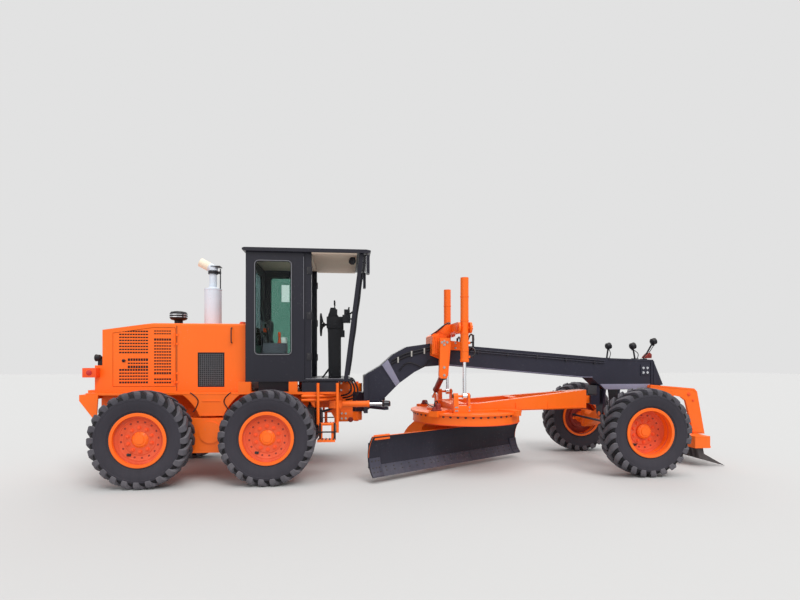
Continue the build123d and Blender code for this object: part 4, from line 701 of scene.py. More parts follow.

# %% [markdown]
# ## Tyres
# Grader tyres carry deep slanting bars in two halves, set half a pitch apart, so a bar is always on the ground. Each
# bar starts near the middle of the tread, swings back towards the shoulder and runs down the side as a wedge. A bar
# could be cut from a thick tread by booleans, but one bar repeated by the ring tree stays light and clean. The carcass
# under the bars is a turned profile with its shallow ribs. The bars are dusted pale by the yard. The grooved crown
# between them is near black, as painted shade of the deep grooves. So bars, grooved crown and sides are three pieces
# with their own finishes, and the sides stand for the solid tyre.

# %% One pair of tread bars
BARS = 24              # on each half of the tread
RUBBER = (
    # profile of the carcass: out from its middle plane, radius
    (0.118, 0.336), (0.131, 0.345), (0.131, 0.354), (0.139, 0.372), (0.146, 0.384), (0.1515, 0.386), (0.152, 0.392),
    (0.158, 0.412),
    (0.168, 0.455), (0.1705, 0.485), (0.1690, 0.510), (0.1715, 0.514), (0.1705, 0.521), (0.163, 0.545), (0.150, 0.575),
    (0.125, 0.594), (0.060, 0.602), (0.0, 0.604),
)
BAR = (
    # along one bar: out and radius of its top, out and radius of its foot, turn back, half length round the tread
    (0.006, 0.6345, 0.006, 0.598, 0.070, 0.030),
    (0.045, 0.6350, 0.045, 0.598, 0.040, 0.036),
    (0.100, 0.6330, 0.100, 0.592, -0.005, 0.040),
    (0.142, 0.6270, 0.136, 0.580, -0.040, 0.044),
    (0.160, 0.6120, 0.146, 0.572, -0.054, 0.045),
    (0.1715, 0.5880, 0.154, 0.560, -0.060, 0.044),
    (0.1745, 0.5600, 0.160, 0.548, -0.062, 0.040),
    (0.1730, 0.5320, 0.163, 0.528, -0.062, 0.034),
)


def tread_bars():
    """A bar on each half of the tread, half a pitch apart, about the origin."""
    work = bmesh.new()
    for half, phase in ((1, 0.0), (-1, pi / BARS)):
        sections = []
        for out, top, foot_out, foot, back, length in BAR:
            corners = []
            for w, r, reach in ((foot_out, foot, -1.14), (out, top, -0.92), (out, top, 0.92), (foot_out, foot, 1.14)):
                a = phase + (back + reach * length) / 0.62
                corners.append(work.verts.new((r * cos(a), half * w, r * sin(a))))
            sections.append(corners)
        for first, second in zip(sections, sections[1:]):
            for i in range(4):
                work.faces.new((first[i - 1], first[i], second[i], second[i - 1]))
        work.faces.new(sections[0])
        work.faces.new(sections[-1])
    bmesh.ops.recalc_face_normals(work, faces=work.faces)
    tops = [e for e in work.edges if e.calc_face_angle(0) > radians(50)]
    bmesh.ops.bevel(work, geom=tops, offset=0.004, segments=1, affect="EDGES", clamp_overlap=True)
    data = bpy.data.meshes.new("tread_bars")
    work.to_mesh(data)
    work.free()
    return data


SHOULDER = 13          # profile corner where the side ends and the grooved crown begins
bars_mesh = tread_bars()
print("one pair of bars:", len(bars_mesh.polygons), "faces")

# %% [markdown]
# Every tyre is turned about its own middle. The bars of one wheel start a little further round than those of the wheel
# before it, because no two wheels of a machine stop alike.

# %% Six tyres
WHEELS = ("rear_left", "rear_right", "mid_left", "mid_right", "front_left", "front_right")
for turn, wheel in enumerate(WHEELS):
    centre = middle(f"tyre_{wheel}")
    sides = Workpiece()
    for half in (1, -1):
        sides.turned(centre, (0, half, 0), RUBBER[:SHOULDER + 1], 96)
    # the grooved crown carries the painted shade of the grooves
    half_crown = list(RUBBER[SHOULDER:])
    crown = Workpiece().turned(centre, (0, 1, 0), half_crown + [(-w, r) for w, r in reversed(half_crown[:-1])], 96)
    crown.done(f"crown_{wheel}", f"wheel_{wheel}", "tyre_groove")
    bars = repeat(ring_tree, bars_mesh, "tyre_tread", Count=BARS, Centre=centre, Axis=Vector((0, 1, 0)),
                  First_Angle=0.05 * turn)
    tread = place_piece(f"tread_{wheel}", bars, f"wheel_{wheel}", "tyre_tread")
    tyre = sides.done(f"rubber_{wheel}", f"wheel_{wheel}", "tyre")
    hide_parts(f"tyre_{wheel}")
print("triangles of one tyre:", sum(len(p.vertices) - 2 for part in (tyre, tread) for p in part.data.polygons))

# %% [markdown]
# ## Wheel centres
# A rear wheel's disc sits near its outer lip, with two rings of nuts round the hub cap. A front wheel is dished the
# other way, so its hub stands deep inside. One hexagonal nut is turned about its own axis and the ring tree sets it
# round the hub. The lip of each rim has a rolled lock ring in plain orange, brighter than the disc. The disc's darker
# red is dirt, and painted shade of the recessed disc.

# %% Nuts


def hex_nut(axis, out, reach, height, across_flats):
    """Nut with a washer, standing on a face at a distance out along the axis and a reach from it."""
    axis = Vector(axis)
    foot = axis * out + axis.orthogonal().normalized() * reach
    work = Workpiece()
    work.turned(foot, axis, [(0, 0), (0, across_flats * 0.95), (height * 0.18, across_flats * 0.95),
                             (height * 0.18, 0)], 10)
    work.turned(foot, axis, [(height * 0.15, 0), (height * 0.15, across_flats * 0.58),
                             (height * 0.9, across_flats * 0.58), (height, across_flats * 0.45), (height, 0)], 6)
    return work.mesh_data("nut")


print("nut with", len(hex_nut((0, 1, 0), 0.0, 0.1, 0.020, 0.030).polygons), "faces")

# %% [markdown]
# Distances out from a wheel's middle plane are measured along `out`, which points away from the machine. The disc's
# face is far out on the four rear wheels and deep inside on the front ones.

# %% Nuts and lock rings on the wheels
DISC_FACE = {"rear": 0.068, "mid": 0.068, "front": -0.042}
RIM_BORE = 0.3136      # radius inside the rim's barrel


def wheel_place(wheel):
    """Middle of a wheel, the direction out of the machine, and how far out its disc's face is."""
    return middle(f"rim_{wheel}"), Vector((0, 1 if "left" in wheel else -1, 0)), DISC_FACE[wheel.split("_")[0]]


RINGS = (
    # count, radius of the ring, across flats, height, first angle
    (10, 0.155, 0.030, 0.020, 0.2),
    (8, 0.086, 0.014, 0.008, 0.0),
)
for wheel in WHEELS:
    hub, out, face = wheel_place(wheel)
    nose = 0.010 if "front" in wheel else 0.090
    sets = []
    for count, ring, flats, height, first in RINGS:
        stand = nose - 0.012 if ring < 0.1 else face + 0.006
        unit = hex_nut(out, stand, ring, height, flats)
        sets.append(repeat(ring_tree, unit, "orange_red", Count=count, Centre=hub, Axis=out, First_Angle=first))
    place_piece(f"wheel_nuts_{wheel}", joined(*sets), f"wheel_{wheel}", "orange_red")
    lip = Workpiece().turned(hub, out, [(0.1345, 0.332), (0.1345, 0.3515), (0.141, 0.3555), (0.149, 0.3535),
                                        (0.1515, 0.346), (0.151, 0.332)], 96, closed=True)
    lip.turned(hub, out, [(0.150, 0.3135), (0.150, 0.322), (0.1515, 0.3215), (0.1515, 0.314)], 96, closed=True)
    lip.turned(hub, out, [(nose - 0.001, 0), (nose - 0.001, 0.062), (nose + 0.010, 0.056), (nose + 0.012, 0.030),
                          (nose + 0.012, 0)], 48)
    lip.done(f"wheel_lock_ring_{wheel}", f"wheel_{wheel}", "orange")
print("wheels with nuts and lock rings:", len(WHEELS))

# %% [markdown]
# The disc has two pressed rings and sixteen vent holes, each a dark disc of painted shade. Behind it lies the inside
# of the drum, its dark red a painted shade of the rim's red. The tyre's valve stands on a small block between the
# holes.

# %% Discs, vents, drums and valves
VALVE_ANGLE, VALVE_REACH = radians(235), 0.235
HALF_BLOCK = Vector((0.026, 0.008, 0.016))
for wheel in WHEELS:
    hub, out, face = wheel_place(wheel)
    plate = Workpiece().turned(hub, out, [(face + 0.0004, 0.106), (face + 0.007, 0.109), (face + 0.007, 0.196),
                                          (face + 0.0012, 0.204), (face + 0.002, 0.212), (face + 0.0122, 0.256),
                                          (face + 0.019, 0.261), (face + 0.021, 0.274), (face + 0.0175, 0.279),
                                          (face + 0.0252, 0.3125), (face + 0.0248, 0.3125), (face + 0.0002, 0.2105)],
                                          72, closed=True)
    bead_seat = (0.100, 0.112) if face > 0 else (0.060, 0.075)
    plate.hoop(hub, out, *bead_seat, 0.3095, RIM_BORE, 72)
    # the disc's darker red is dirt and painted shade
    plate.done(f"wheel_face_{wheel}", f"wheel_{wheel}", "rim_face")
    # each vent hole is a dark disc: painted shade of the hole
    hole = Workpiece().turned(out * (face + 0.0072) + Vector((0.236, 0, 0)), out,
                              [(-0.004, 0), (-0.004, 0.0135), (0.0025, 0.0135), (0.0025, 0)], 12).mesh_data("hole")
    holes = repeat(ring_tree, hole, "rim_inner", Count=16, Centre=hub, Axis=out, First_Angle=0.11)
    place_piece(f"wheel_vents_{wheel}", holes, f"wheel_{wheel}", "rim_inner")
    # the drum's dark red inside is painted shade
    back = face - 0.018
    drum = Workpiece().turned(hub, out, [(back - 0.0004, 0.107), (back - 0.0004, 0.2035), (back + 0.0246, 0.3125),
                                         (back + 0.0240, 0.3125), (back - 0.006, 0.212), (back - 0.020, 0.205),
                                         (-0.128, 0.200), (-0.134, 0.190), (-0.134, 0.150), (-0.126, 0.140),
                                         (-0.126, 0.107)], 64, closed=True)
    drum.turned(hub, out, [(-0.146, RIM_BORE), (-0.146, 0.302), (-0.136, 0.300), (-0.130, RIM_BORE)], 72, closed=True)
    drum.done(f"wheel_drum_{wheel}", f"wheel_{wheel}", "rim_inner", 0.001)
    foot = hub + Vector((cos(VALVE_ANGLE), 0, sin(VALVE_ANGLE))) * VALVE_REACH + out * (face + 0.012)
    stem = Workpiece().block(foot - HALF_BLOCK, foot + HALF_BLOCK)
    stem.bar(foot, foot + out * 0.05 + Vector((0.01, 0, 0.02)), 0.007)
    stem.done(f"valve_{wheel}", f"wheel_{wheel}", "iron", 0.002)
print("wheel centres dressed:", len(WHEELS))

# %% [markdown]
# ## Engine hood
# The hood's doors have punched fields that let the radiator breathe. The solid already has the pockets and their level
# slats. The shade in the gap behind the slats, and the short uprights that divide each gap into slots, make them read
# as punched sheet. So a black backing of painted shade goes into each pocket, and the grid tree repeats one upright
# over it.

# %% Punched fields of the doors
FIELDS = (
    # start, end, foot, top of each field, in metres from the middle axle
    (-2.110, -1.723, 1.763, 2.082),
    (-1.995, -1.723, 1.555, 1.692),
    (-2.110, -1.723, 1.342, 1.545),
    (-1.643, -1.413, 1.468, 1.973),
    (-1.643, -1.413, 2.031, 2.085),
    (-1.643, -1.413, 1.341, 1.412),
)
HOOD_SIDE = 0.550      # of the doors' faces from the middle
POCKET = 0.009         # depth of the fields in the door
SLOT_PITCH = 0.034
for side_name, way in SIDES:
    backing = Workpiece()
    uprights = []
    for start, end, foot, top in FIELDS:
        # black backing: painted shade of the gap behind the slats
        backing.block(at(start + 0.0006, way * (HOOD_SIDE - POCKET - 0.001), foot + 0.0006),
                      at(end - 0.0006, way * (HOOD_SIDE - POCKET + 0.003), top - 0.0006))
        unit = Workpiece().block((-0.003, way * (HOOD_SIDE - POCKET), foot + 0.001),
                                 (0.003, way * (HOOD_SIDE - 0.0008), top - 0.001)).mesh_data("upright")
        count = round((end - start) / SLOT_PITCH)
        step = (end - start) / count
        uprights.append(repeat(grid_tree, unit, "orange", Columns=count - 1, Rows=1,
                               Start=at(start + step, 0, 0), Column_Step=Vector((step, 0, 0))))
    backing.done(f"door_field_backing_{side_name}", f"door_{side_name}", "grille_black")
    place_piece(f"door_field_bars_{side_name}", joined(*uprights), f"door_{side_name}", "orange")
print("fields on each door:", len(FIELDS))

# %% [markdown]
# The door shows as a thin dark line in the hood's side, because light doesn't get into its gap. The gap is there in the
# solid. A grab handle, the seams at the door's front and where hood and cab cowl meet, painted as black strips of
# shade, and a ledge along the foot are what else a mechanic would notice. Handles, hoses and cables are all bent tubes,
# so they share one helper.

# %% Bent tubes, handles and seams


def bent_tube(name, points, radius, body, finish):
    """Tube along a smooth path, as plain mesh."""
    line = bpy.data.curves.new(name, "CURVE")
    line.dimensions = "3D"
    line.bevel_depth = radius
    line.bevel_resolution = 3
    line.use_fill_caps = True
    line.resolution_u = 6
    spline = line.splines.new("NURBS")
    spline.points.add(len(points) - 1)
    for knot, place in zip(spline.points, points):
        knot.co = (*place, 1)
    spline.order_u = 3
    spline.use_endpoint_u = True
    carrier = bpy.data.objects.new("carrier", line)
    scene.collection.objects.link(carrier)
    data = bpy.data.meshes.new_from_object(carrier.evaluated_get(bpy.context.evaluated_depsgraph_get()))
    bpy.data.objects.remove(carrier)
    for polygon in data.polygons:
        polygon.use_smooth = True
    return place_piece(name, data, body, finish)


# the handle: out from the hood, height
GRAB = ((0, 1.915), (0.045, 1.915), (0.05, 1.95), (0.05, 2.09), (0.045, 2.128), (0, 2.128))
for side_name, way in SIDES:
    face = way * HOOD_SIDE
    grab = [at(-0.578, face + way * off, z) for off, z in GRAB]
    bent_tube(f"hood_grab_{side_name}", grab, 0.008, "rear_body", "iron")
    # black strips at the seams: painted shade of their gaps
    trim = Workpiece()
    trim.block(at(-1.338, face, 1.235), at(-1.330, face + way * 0.003, 2.155))
    trim.block(at(-0.392, face, 1.235), at(-0.378, face + way * 0.003, 2.17))
    trim.done(f"hood_seam_{side_name}", "rear_body", "grille_black")
    ledge = Workpiece().block(at(-2.325, face, 1.221), at(-0.380, face + way * 0.022, 1.233))
    ledge.done(f"hood_ledge_{side_name}", "rear_body", "orange", 0.002)
print("hood trimmed")

# %% [markdown]
# The door's latch is a turning grip. The black side grille ahead of the door is woven wire: uprights and levels are two
# grids of one wire each.

# %% Latches, side grilles and filler cap
GRILLE_START, GRILLE_LENGTH, UPRIGHT_GAPS = -1.050, 0.368, 14
GRILLE_FOOT, GRILLE_HEIGHT, LEVEL_GAPS = 1.287, 0.491, 18
for side_name, way in SIDES:
    face = way * HOOD_SIDE
    latch = Workpiece().turned(at(-2.05, face, 1.66), (0, way, 0),
                               [(0, 0), (0, 0.022), (0.006, 0.022), (0.008, 0.014), (0.012, 0.012), (0.012, 0)], 20)
    latch.block(at(-2.062, face + way * 0.012, 1.655), at(-2.012, face + way * 0.02, 1.665))
    latch.done(f"door_latch_{side_name}", f"door_{side_name}", "black_plastic", 0.001)
    back, front = way * (HOOD_SIDE - 0.0035), way * (HOOD_SIDE - 0.0020)
    across, up = GRILLE_LENGTH / UPRIGHT_GAPS, GRILLE_HEIGHT / LEVEL_GAPS
    upright = Workpiece().block((-0.0022, back, 1.297), (0.0022, front, 1.768)).mesh_data("wire")
    uprights = repeat(grid_tree, upright, "wire_grey", Columns=UPRIGHT_GAPS - 1, Rows=1,
                      Start=at(GRILLE_START + across, 0, 0), Column_Step=Vector((across, 0, 0)))
    level = Workpiece().block(at(-1.040, back, -0.0022), at(-0.692, front, 0.0022)).mesh_data("wire")
    levels = repeat(grid_tree, level, "wire_grey", Columns=1, Rows=LEVEL_GAPS - 1,
                    Start=UP * (GRILLE_FOOT + up), Row_Step=UP * up)
    place_piece(f"grille_wire_{side_name}", joined(uprights, levels), "rear_body", "wire_grey")
filler = Workpiece().turned(at(-0.46, -0.40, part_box("hood")[1].z - 0.001), UP,
                            [(0, 0), (0, 0.048), (0.018, 0.048), (0.024, 0.040), (0.034, 0.038), (0.038, 0.026),
                             (0.038, 0)], 28)
filler.done("fuel_filler_cap", "rear_body", "orange_red", 0.001)
print("hood dressed")

# %% [markdown]
# ## Exhaust, pre-cleaner and rear lamps
# The silencer is a rolled drum with crimped ends. A clamp and a flat strut hold its tail pipe, and the burnt outlet is
# paler than the drum. The air intake's bowl carries two bright bands. These are all turned parts, so `turned` makes
# them. The rear lamps are rebuilt from three finishes, because a lamp's box, lens and housing are different materials,
# and the new pieces stand for the solid they replace.

# %% Studs


def studs(places, axis, flats=0.018, height=0.012):
    """Mesh of hexagon heads, one at each place, standing along the axis."""
    work = Workpiece()
    for place in places:
        work.turned(place, axis, [(-0.001, 0), (-0.001, flats * 0.8), (0.002, flats * 0.8), (0.002, flats * 0.56),
                                  (height, flats * 0.5), (height, 0)], 6)
    return work.mesh_data("studs")


print("a stud has", len(studs([(0, 0, 0)], UP).polygons), "faces")

# %% [markdown]
# The silencer's bands and end cap stand on the drum's axis. The outlet is cut square, so its lip follows the bent
# pipe's throw.

# %% Silencer, tail pipe and intake bowl
drum, drum_foot, drum_top, drum_r = at(-0.987, 0, 0), 2.190, 2.760, 0.125
bands = Workpiece()
for z in (drum_foot + 0.012, drum_top - 0.022):
    bands.hoop(drum + UP * z, UP, 0, 0.010, drum_r - 0.002, drum_r + 0.0035, 64)
bands.turned(drum + UP * (drum_top - 0.004), UP, [(0, 0.055), (0, 0.118), (0.006, 0.115), (0.018, 0.075),
    (0.030, 0.058), (0.030, 0.055)], 48, closed=True)
bands.done("silencer_bands", "rear_body", "exhaust_steel", 0.001)
clamp = Workpiece()
clamp.hoop(drum + UP * 2.985, UP, 0, 0.045, 0.0555, 0.072, 32)
clamp.block(at(-0.925, -0.012, 2.990), at(-0.868, 0.012, 3.030))
clamp.block(at(-0.885, -0.014, 2.715), at(-0.872, 0.014, 3.070))
clamp.block(at(-1.005, -0.075, 3.092), at(-0.868, 0.075, 3.104))
clamp.done("tail_pipe_clamp", "rear_body", "iron", 0.002)
bend = at(-0.960, 0, 3.050)
throw = (at(-1.175, 0, 3.165) - bend).normalized()
outlet = Workpiece().turned(bend + throw * 0.095, throw, [(0, 0.0655), (0, 0.0675), (0.148, 0.0675), (0.1487, 0.062),
    (0.1487, 0.0575), (0.100, 0.0575)], 48)
outlet.done("exhaust_outlet", "rear_body", "cream")
bowl = Workpiece()
for z in (2.318, 2.352):
    bowl.hoop(at(-1.495, 0, z), UP, 0, 0.010, 0.124, 0.1285, 48)
bowl.done("pre_cleaner_bands", "rear_body", "chrome")
print("stack pieces: 4")

# %% [markdown]
# Two cables and two strips on the side skirt between the wheels are small, but they break up the orange. Each rear lamp
# box has a red lens behind and one at its side, with a work lamp beside it.

# %% Skirt cables and rear lamps
SKIRT_CABLES = (
    # name, stations and heights along it
    ("back", ((-1.09, 1.222), (-1.04, 1.19), (-0.985, 1.13), (-0.98, 1.08), (-1.02, 0.99), (-1.05, 0.955))),
    ("front", ((-0.545, 1.222), (-0.60, 1.18), (-0.64, 1.12), (-0.635, 1.07), (-0.58, 0.99), (-0.555, 0.95))),
)
rear_boxes, lenses, heads = Workpiece(), Workpiece(), Workpiece()
for side_name, way in SIDES:
    y = way * 0.756
    for end, run in SKIRT_CABLES:
        bent_tube(f"skirt_cable_{end}_{side_name}", [at(s, y, z) for s, z in run], 0.007, "rear_body", "black_plastic")
    strip = Workpiece().block(at(-0.93, way * 0.750, 1.098), at(-0.69, way * 0.758, 1.112))
    strip.block(at(-1.30, way * 0.750, 1.196), at(-0.30, way * 0.754, 1.206))
    strip.done(f"skirt_strip_{side_name}", "rear_body", "orange", 0.002)
    rear_boxes.block(at(-2.540, way * 0.5503, 1.430), at(-2.360, way * 0.660, 1.560))
    lenses.turned(at(-2.536, way * 0.605, 1.495), (-1, 0, 0),
                  [(0, 0), (0, 0.044), (0.006, 0.044), (0.011, 0.030), (0.012, 0)], 32)
    lenses.turned(at(-2.450, way * 0.659, 1.495), (0, way, 0),
                  [(0, 0), (0, 0.036), (0.005, 0.036), (0.010, 0.024), (0.011, 0)], 32)
    heads.block(at(-2.420, way * 0.480 - 0.012, 1.5953), at(-2.360, way * 0.480 + 0.012, 1.690))
    heads.turned(at(-2.450, way * 0.480, 1.700), (1, 0, 0), [(0.004, 0), (0.004, 0.040), (0, 0.046), (0, 0.050),
        (0.012, 0.050), (0.016, 0.047), (0.055, 0.044), (0.078, 0.022), (0.080, 0)], 40)
boxes = rear_boxes.done("rear_lamp_boxes", "rear_body", "orange_red", 0.006)
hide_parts("rear_lamps")
lenses.done("rear_lamp_lenses", "rear_body", "lamp_red")
heads.done("rear_work_lamps", "rear_body", "black_plastic")
print("rear lamps: 2 boxes, 4 lenses, 2 work lamps")

# %% [markdown]
# ## Cab
# The cab is a box of folded sheet with rounded windows. A pane sits in a rubber strip, and along the strip runs a pale
# grey bead, a painted highlight that draws the thin pale line round each window. The strip is one band between two
# rounded rectangles.

# %% Rounded strips


def rounded(low, high, corner, steps=6):
    """Points round a rectangle with rounded corners, in a plane's own two directions."""
    (u0, v0), (u1, v1) = low, high
    points = []
    for cu, cv, start in ((u1 - corner, v0 + corner, -90), (u1 - corner, v1 - corner, 0),
                          (u0 + corner, v1 - corner, 90), (u0 + corner, v0 + corner, 180)):
        for i in range(steps + 1):
            a = radians(start + 90 * i / steps)
            points.append((cu + corner * cos(a), cv + corner * sin(a)))
    return points


def strip_round(work, low, high, corner, width, place, out):
    """Raised band inside a rounded rectangle: place turns plane points into 3-D, out is its height."""
    (u0, v0), (u1, v1) = low, high
    outer = [place(u, v) for u, v in rounded(low, high, corner)]
    inner = [place(u, v) for u, v in rounded((u0 + width, v0 + width), (u1 - width, v1 - width), corner - width)]
    rows = [outer, [p + out for p in outer], [p + out for p in inner], inner]
    made = [[work.mesh.verts.new(p) for p in row] for row in rows]
    for k in range(4):
        for i in range(len(outer)):
            work.mesh.faces.new((made[k][i - 1], made[k - 1][i - 1], made[k - 1][i], made[k][i]))


print("helpers: rounded, strip_round")

# %% [markdown]
# A window is given by its lowest and highest corner: station and height on the cab's sides, side and height on its
# rear. The rubber lies over the window's edge, and the bead runs along its middle.

# %% Window strips
CAB_SIDE = 0.700       # of the cab's side sheets from the middle
SIDE_WINDOW = ((-0.233, 1.748), (0.272, 3.067))
REAR_WINDOW = ((-0.440, 1.900), (0.440, 3.040))
rubber, bead = Workpiece(), Workpiece()


def rubber_round(window, place, out):
    """Rubber strip over the edge of a window."""
    (u0, v0), (u1, v1) = window
    strip_round(rubber, (u0 - 0.016, v0 - 0.016), (u1 + 0.016, v1 + 0.016), 0.071, 0.030, place, out)


for way in (1, -1):
    (u0, v0), (u1, v1) = SIDE_WINDOW
    on_side = lambda u, v, way=way: at(u, way * CAB_SIDE, v)
    rubber_round(SIDE_WINDOW, on_side, Vector((0, way * 0.005, 0)))
    # the pale bead is a painted highlight round the window
    strip_round(bead, (u0 - 0.005, v0 - 0.005), (u1 + 0.005, v1 + 0.005), 0.060, 0.006, on_side,
                Vector((0, way * 0.0075, 0)))
rubber_round(REAR_WINDOW, lambda u, v: at(-0.357, u, v), Vector((-0.005, 0, 0)))
rubber.done("window_rubber", "rear_body", "black_plastic")
bead.done("window_bead", "rear_body", "bead_pale")
print("windows with strips: 3")

# %% [markdown]
# Inside, the roof is lined with pale board. The far pane and the rear pane have a dark green film against the sun, and
# a blank white card hangs in the far window, with the film cut out round it. A small fan sits under the roof's front
# edge.

# %% Lining, film, card and fan
lining = Workpiece()
lining.block(at(-0.326, -0.609, 3.172), at(0.552, 0.609, 3.1895))
lining.block(at(0.556, -0.735, 3.172), at(1.195, 0.735, 3.1895))
lining.done("roof_lining", "rear_body", "headliner", 0.004)
FILM_BACK, FILM_FRONT, FILM_FOOT, FILM_TOP = -0.229, 0.268, 1.752, 3.063
CARD_BACK, CARD_FRONT, CARD_FOOT, CARD_TOP = -0.046, 0.084, 2.656, 2.943
SHEET = (0.6705, 0.6725)       # inner and outer side of film and card, behind the far pane
film = Workpiece()
for back, foot, front, top in ((FILM_BACK, FILM_FOOT, FILM_FRONT, CARD_FOOT),
                               (FILM_BACK, CARD_TOP, FILM_FRONT, FILM_TOP),
                               (FILM_BACK, CARD_FOOT, CARD_BACK, CARD_TOP),
                               (CARD_FRONT, CARD_FOOT, FILM_FRONT, CARD_TOP)):
    film.block(at(back, SHEET[0], foot), at(front, SHEET[1], top))
film.done("sun_film_side", "rear_body", "sun_film")
rear_film = Workpiece().block(at(-0.3375, -0.435, 1.905), at(-0.3355, 0.435, 3.035))
rear_film.done("sun_film_rear", "rear_body", "sun_film_pale")
card = Workpiece().block(at(CARD_BACK, SHEET[0], CARD_FOOT), at(CARD_FRONT, SHEET[1], CARD_TOP))
card.done("blank_card", "rear_body", "backlit_card")
fan = Workpiece()
fan.turned(at(1.14, -0.54, 3.112), (-0.5, -0.85, 0), [(0, 0), (0, 0.030), (0.010, 0.052), (0.030, 0.055),
    (0.036, 0.050), (0.036, 0.014), (0.044, 0.012), (0.044, 0)], 32)
fan.bar(at(1.15, -0.53, 3.11), at(1.165, -0.52, 3.173), 0.010)
fan.done("cab_fan", "rear_body", "black_plastic", 0.001)
print("cab lined")

# %% [markdown]
# A bright sill runs under the doorway, and its hinged edge has a pale strip, a painted highlight along the edge, and
# three hinge plates. A folded flange with its wiring thickens the windscreen's post, so a slightly uneven tube stands
# for both.

# %% Doorway and post
POST_STEPS = 8
doorway, hinges = Workpiece(), Workpiece()
for side_name, way in SIDES:
    # pale strip on the hinged edge: painted highlight
    doorway.block(at(0.4405, way * (CAB_SIDE + 0.0002), 2.25), at(0.4445, way * (CAB_SIDE + 0.003), 3.13))
    doorway.block(at(0.470, way * 0.655, 1.4003), at(1.000, way * 0.7005, 1.4055))
    for z in (1.72, 2.30, 2.94):
        hinges.block(at(0.484, way * 0.680, z - 0.05), at(0.542, way * 0.690, z + 0.05))
        hinges.bar(at(0.552, way * 0.683, z - 0.055), at(0.552, way * 0.683, z + 0.055), 0.010)
    run = [at(1.085 + 0.226 * k / POST_STEPS + (0.006 if k % 2 else -0.004), way * (CAB_SIDE - 0.012),
              1.45 + 1.72 * k / POST_STEPS)
           for k in range(POST_STEPS + 1)]
    bent_tube(f"post_cable_{side_name}", run, 0.011, "rear_body", "black_plastic")
doorway.done("doorway_bright_edges", "rear_body", "bead_pale", 0.001)
hinges.done("doorway_hinges", "rear_body", "iron", 0.002)
print("doorway hinges: 3 a side")

# %% [markdown]
# ## Seat
# The seat is soft, so its plain solid is replaced. A cushion is a crowned closed form: its sides pull in between the
# corners, and sewn channels cross it. A superellipse squeezed along one direction gives the crown. The channels are
# shallow valleys pressed into the same grid of points, so the cloth stays one sheet. A finer mesh then shades softly.

# %% Cushions


def sign_of(value):
    """-1 or 1."""
    return -1 if value < 0 else 1


def cushion(name, centre, half, lean, channels, taper=0.0):
    """Padded form about its centre: half sizes, lean in degrees about Y, sewn channels across it."""
    rings, steps = 28, 56
    rows = []
    for j in range(rings + 1):
        tall = -pi / 2 + pi * j / rings
        row = []
        for i in range(steps):
            turn = 2 * pi * i / steps
            u, v = (sign_of(flat) * abs(flat) ** 0.34 * abs(cos(tall)) ** 0.42 for flat in (cos(turn), sin(turn)))
            w = sign_of(sin(tall)) * abs(sin(tall)) ** 0.62
            u *= 1 - 0.035 * (1 - v * v)
            v *= 1 - 0.035 * (1 - u * u)
            crown = 1 + 0.12 * (1 - u * u) * (1 - v * v) if w > 0 else 0.86
            dip = sum(0.16 * 2.718 ** (-((u - c) / 0.035) ** 2) for c in channels) if w > 0 else 0
            row.append(Vector((half[0] * u, half[1] * v * (1 - taper * (u + 1) / 2),
                               half[2] * (w * crown - dip * abs(w)))))
        rows.append(row)
    work = Workpiece()
    tip = Matrix.Rotation(radians(lean), 3, "Y")
    made = [[work.mesh.verts.new(Vector(centre) + tip @ p) for p in row] for row in rows]
    for first, second in zip(made, made[1:]):
        for i in range(steps):
            work.mesh.faces.new((first[i - 1], first[i], second[i], second[i - 1]))
    bmesh.ops.remove_doubles(work.mesh, verts=work.mesh.verts, dist=1e-5)
    piece = place_piece(name, work.mesh_data(name, 0, 60), "rear_body", "seat_cover")
    return piece


cushion("seat_base_cushion", at(-0.035, 0, 1.628), (0.178, 0.236, 0.062), 0, (-0.45, 0.0, 0.45))
cushion("seat_back_cushion", at(-0.158, 0, 1.985), (0.305, 0.228, 0.056), -83, (-0.5, -0.1, 0.3), taper=0.45)
print("cushions: 2")

# %% [markdown]
# The stand under and behind the cushions stands for the seat's solid. A tray with a red lever and two knobs is at the
# operator's right hand.

# %% Stand, lever and knobs
stand = Workpiece()
stand.side_plate(((-0.18, 1.4003), (0.09, 1.4003), (0.06, 1.56), (-0.15, 1.56)), -0.14, 0.28)
stand.side_plate(((-0.215, 1.555), (0.125, 1.555), (0.125, 1.572), (-0.215, 1.572)), -0.225, 0.45)
stand.side_plate(((-0.235, 1.60), (-0.222, 1.60), (-0.232, 2.27), (-0.245, 2.27)), -0.19, 0.38)
for y in (-0.262, 0.245):
    stand.block(at(-0.20, y, 1.78), at(0.06, y + 0.017, 1.80))
    stand.block(at(-0.215, y, 1.60), at(-0.19, y + 0.017, 1.80))
stand.block(at(-0.157, -0.50, 1.4003), at(0.174, -0.30, 1.915))
base = stand.done("seat_stand", "rear_body", "seat_grey", 0.006)
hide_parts("seat")
lever = Workpiece().turned(at(0.065, -0.40, 1.9155), UP, [(0, 0), (0, 0.034), (0.02, 0.024), (0.09, 0.014),
    (0.11, 0.022), (0.16, 0.020), (0.17, 0)], 20)
lever.block(at(-0.185, -0.300, 2.085), at(-0.115, -0.255, 2.145))
lever.done("seat_side_lever", "rear_body", "orange_red", 0.004)
tray = Workpiece().block(at(0.095, -0.465, 1.9155), at(0.170, -0.335, 2.005))
tray.done("seat_side_tray", "rear_body", "card_white", 0.014)
knobs = Workpiece().turned(at(-0.06, -0.40, 1.9155), (-0.25, 0, 1),
                           [(0, 0), (0, 0.055), (0.04, 0.040), (0.13, 0.016), (0.22, 0.014), (0.24, 0.028),
                            (0.29, 0.026), (0.30, 0)], 20)
knobs.turned(at(-0.12, -0.44, 1.9155), (-0.4, 0, 1), [(0, 0), (0, 0.040), (0.05, 0.022), (0.16, 0.012), (0.18, 0.022),
    (0.22, 0)], 20)
knobs.done("seat_side_knobs", "rear_body", "black_plastic")
print("seat: stand, lever, tray and knobs")

# %% [markdown]
# ## Steering console
# The console stands between the operator's feet. Two rows of lever knobs flank the wheel, dials sit on the sloping top,
# and a bank of levers hangs from the windscreen's frame.

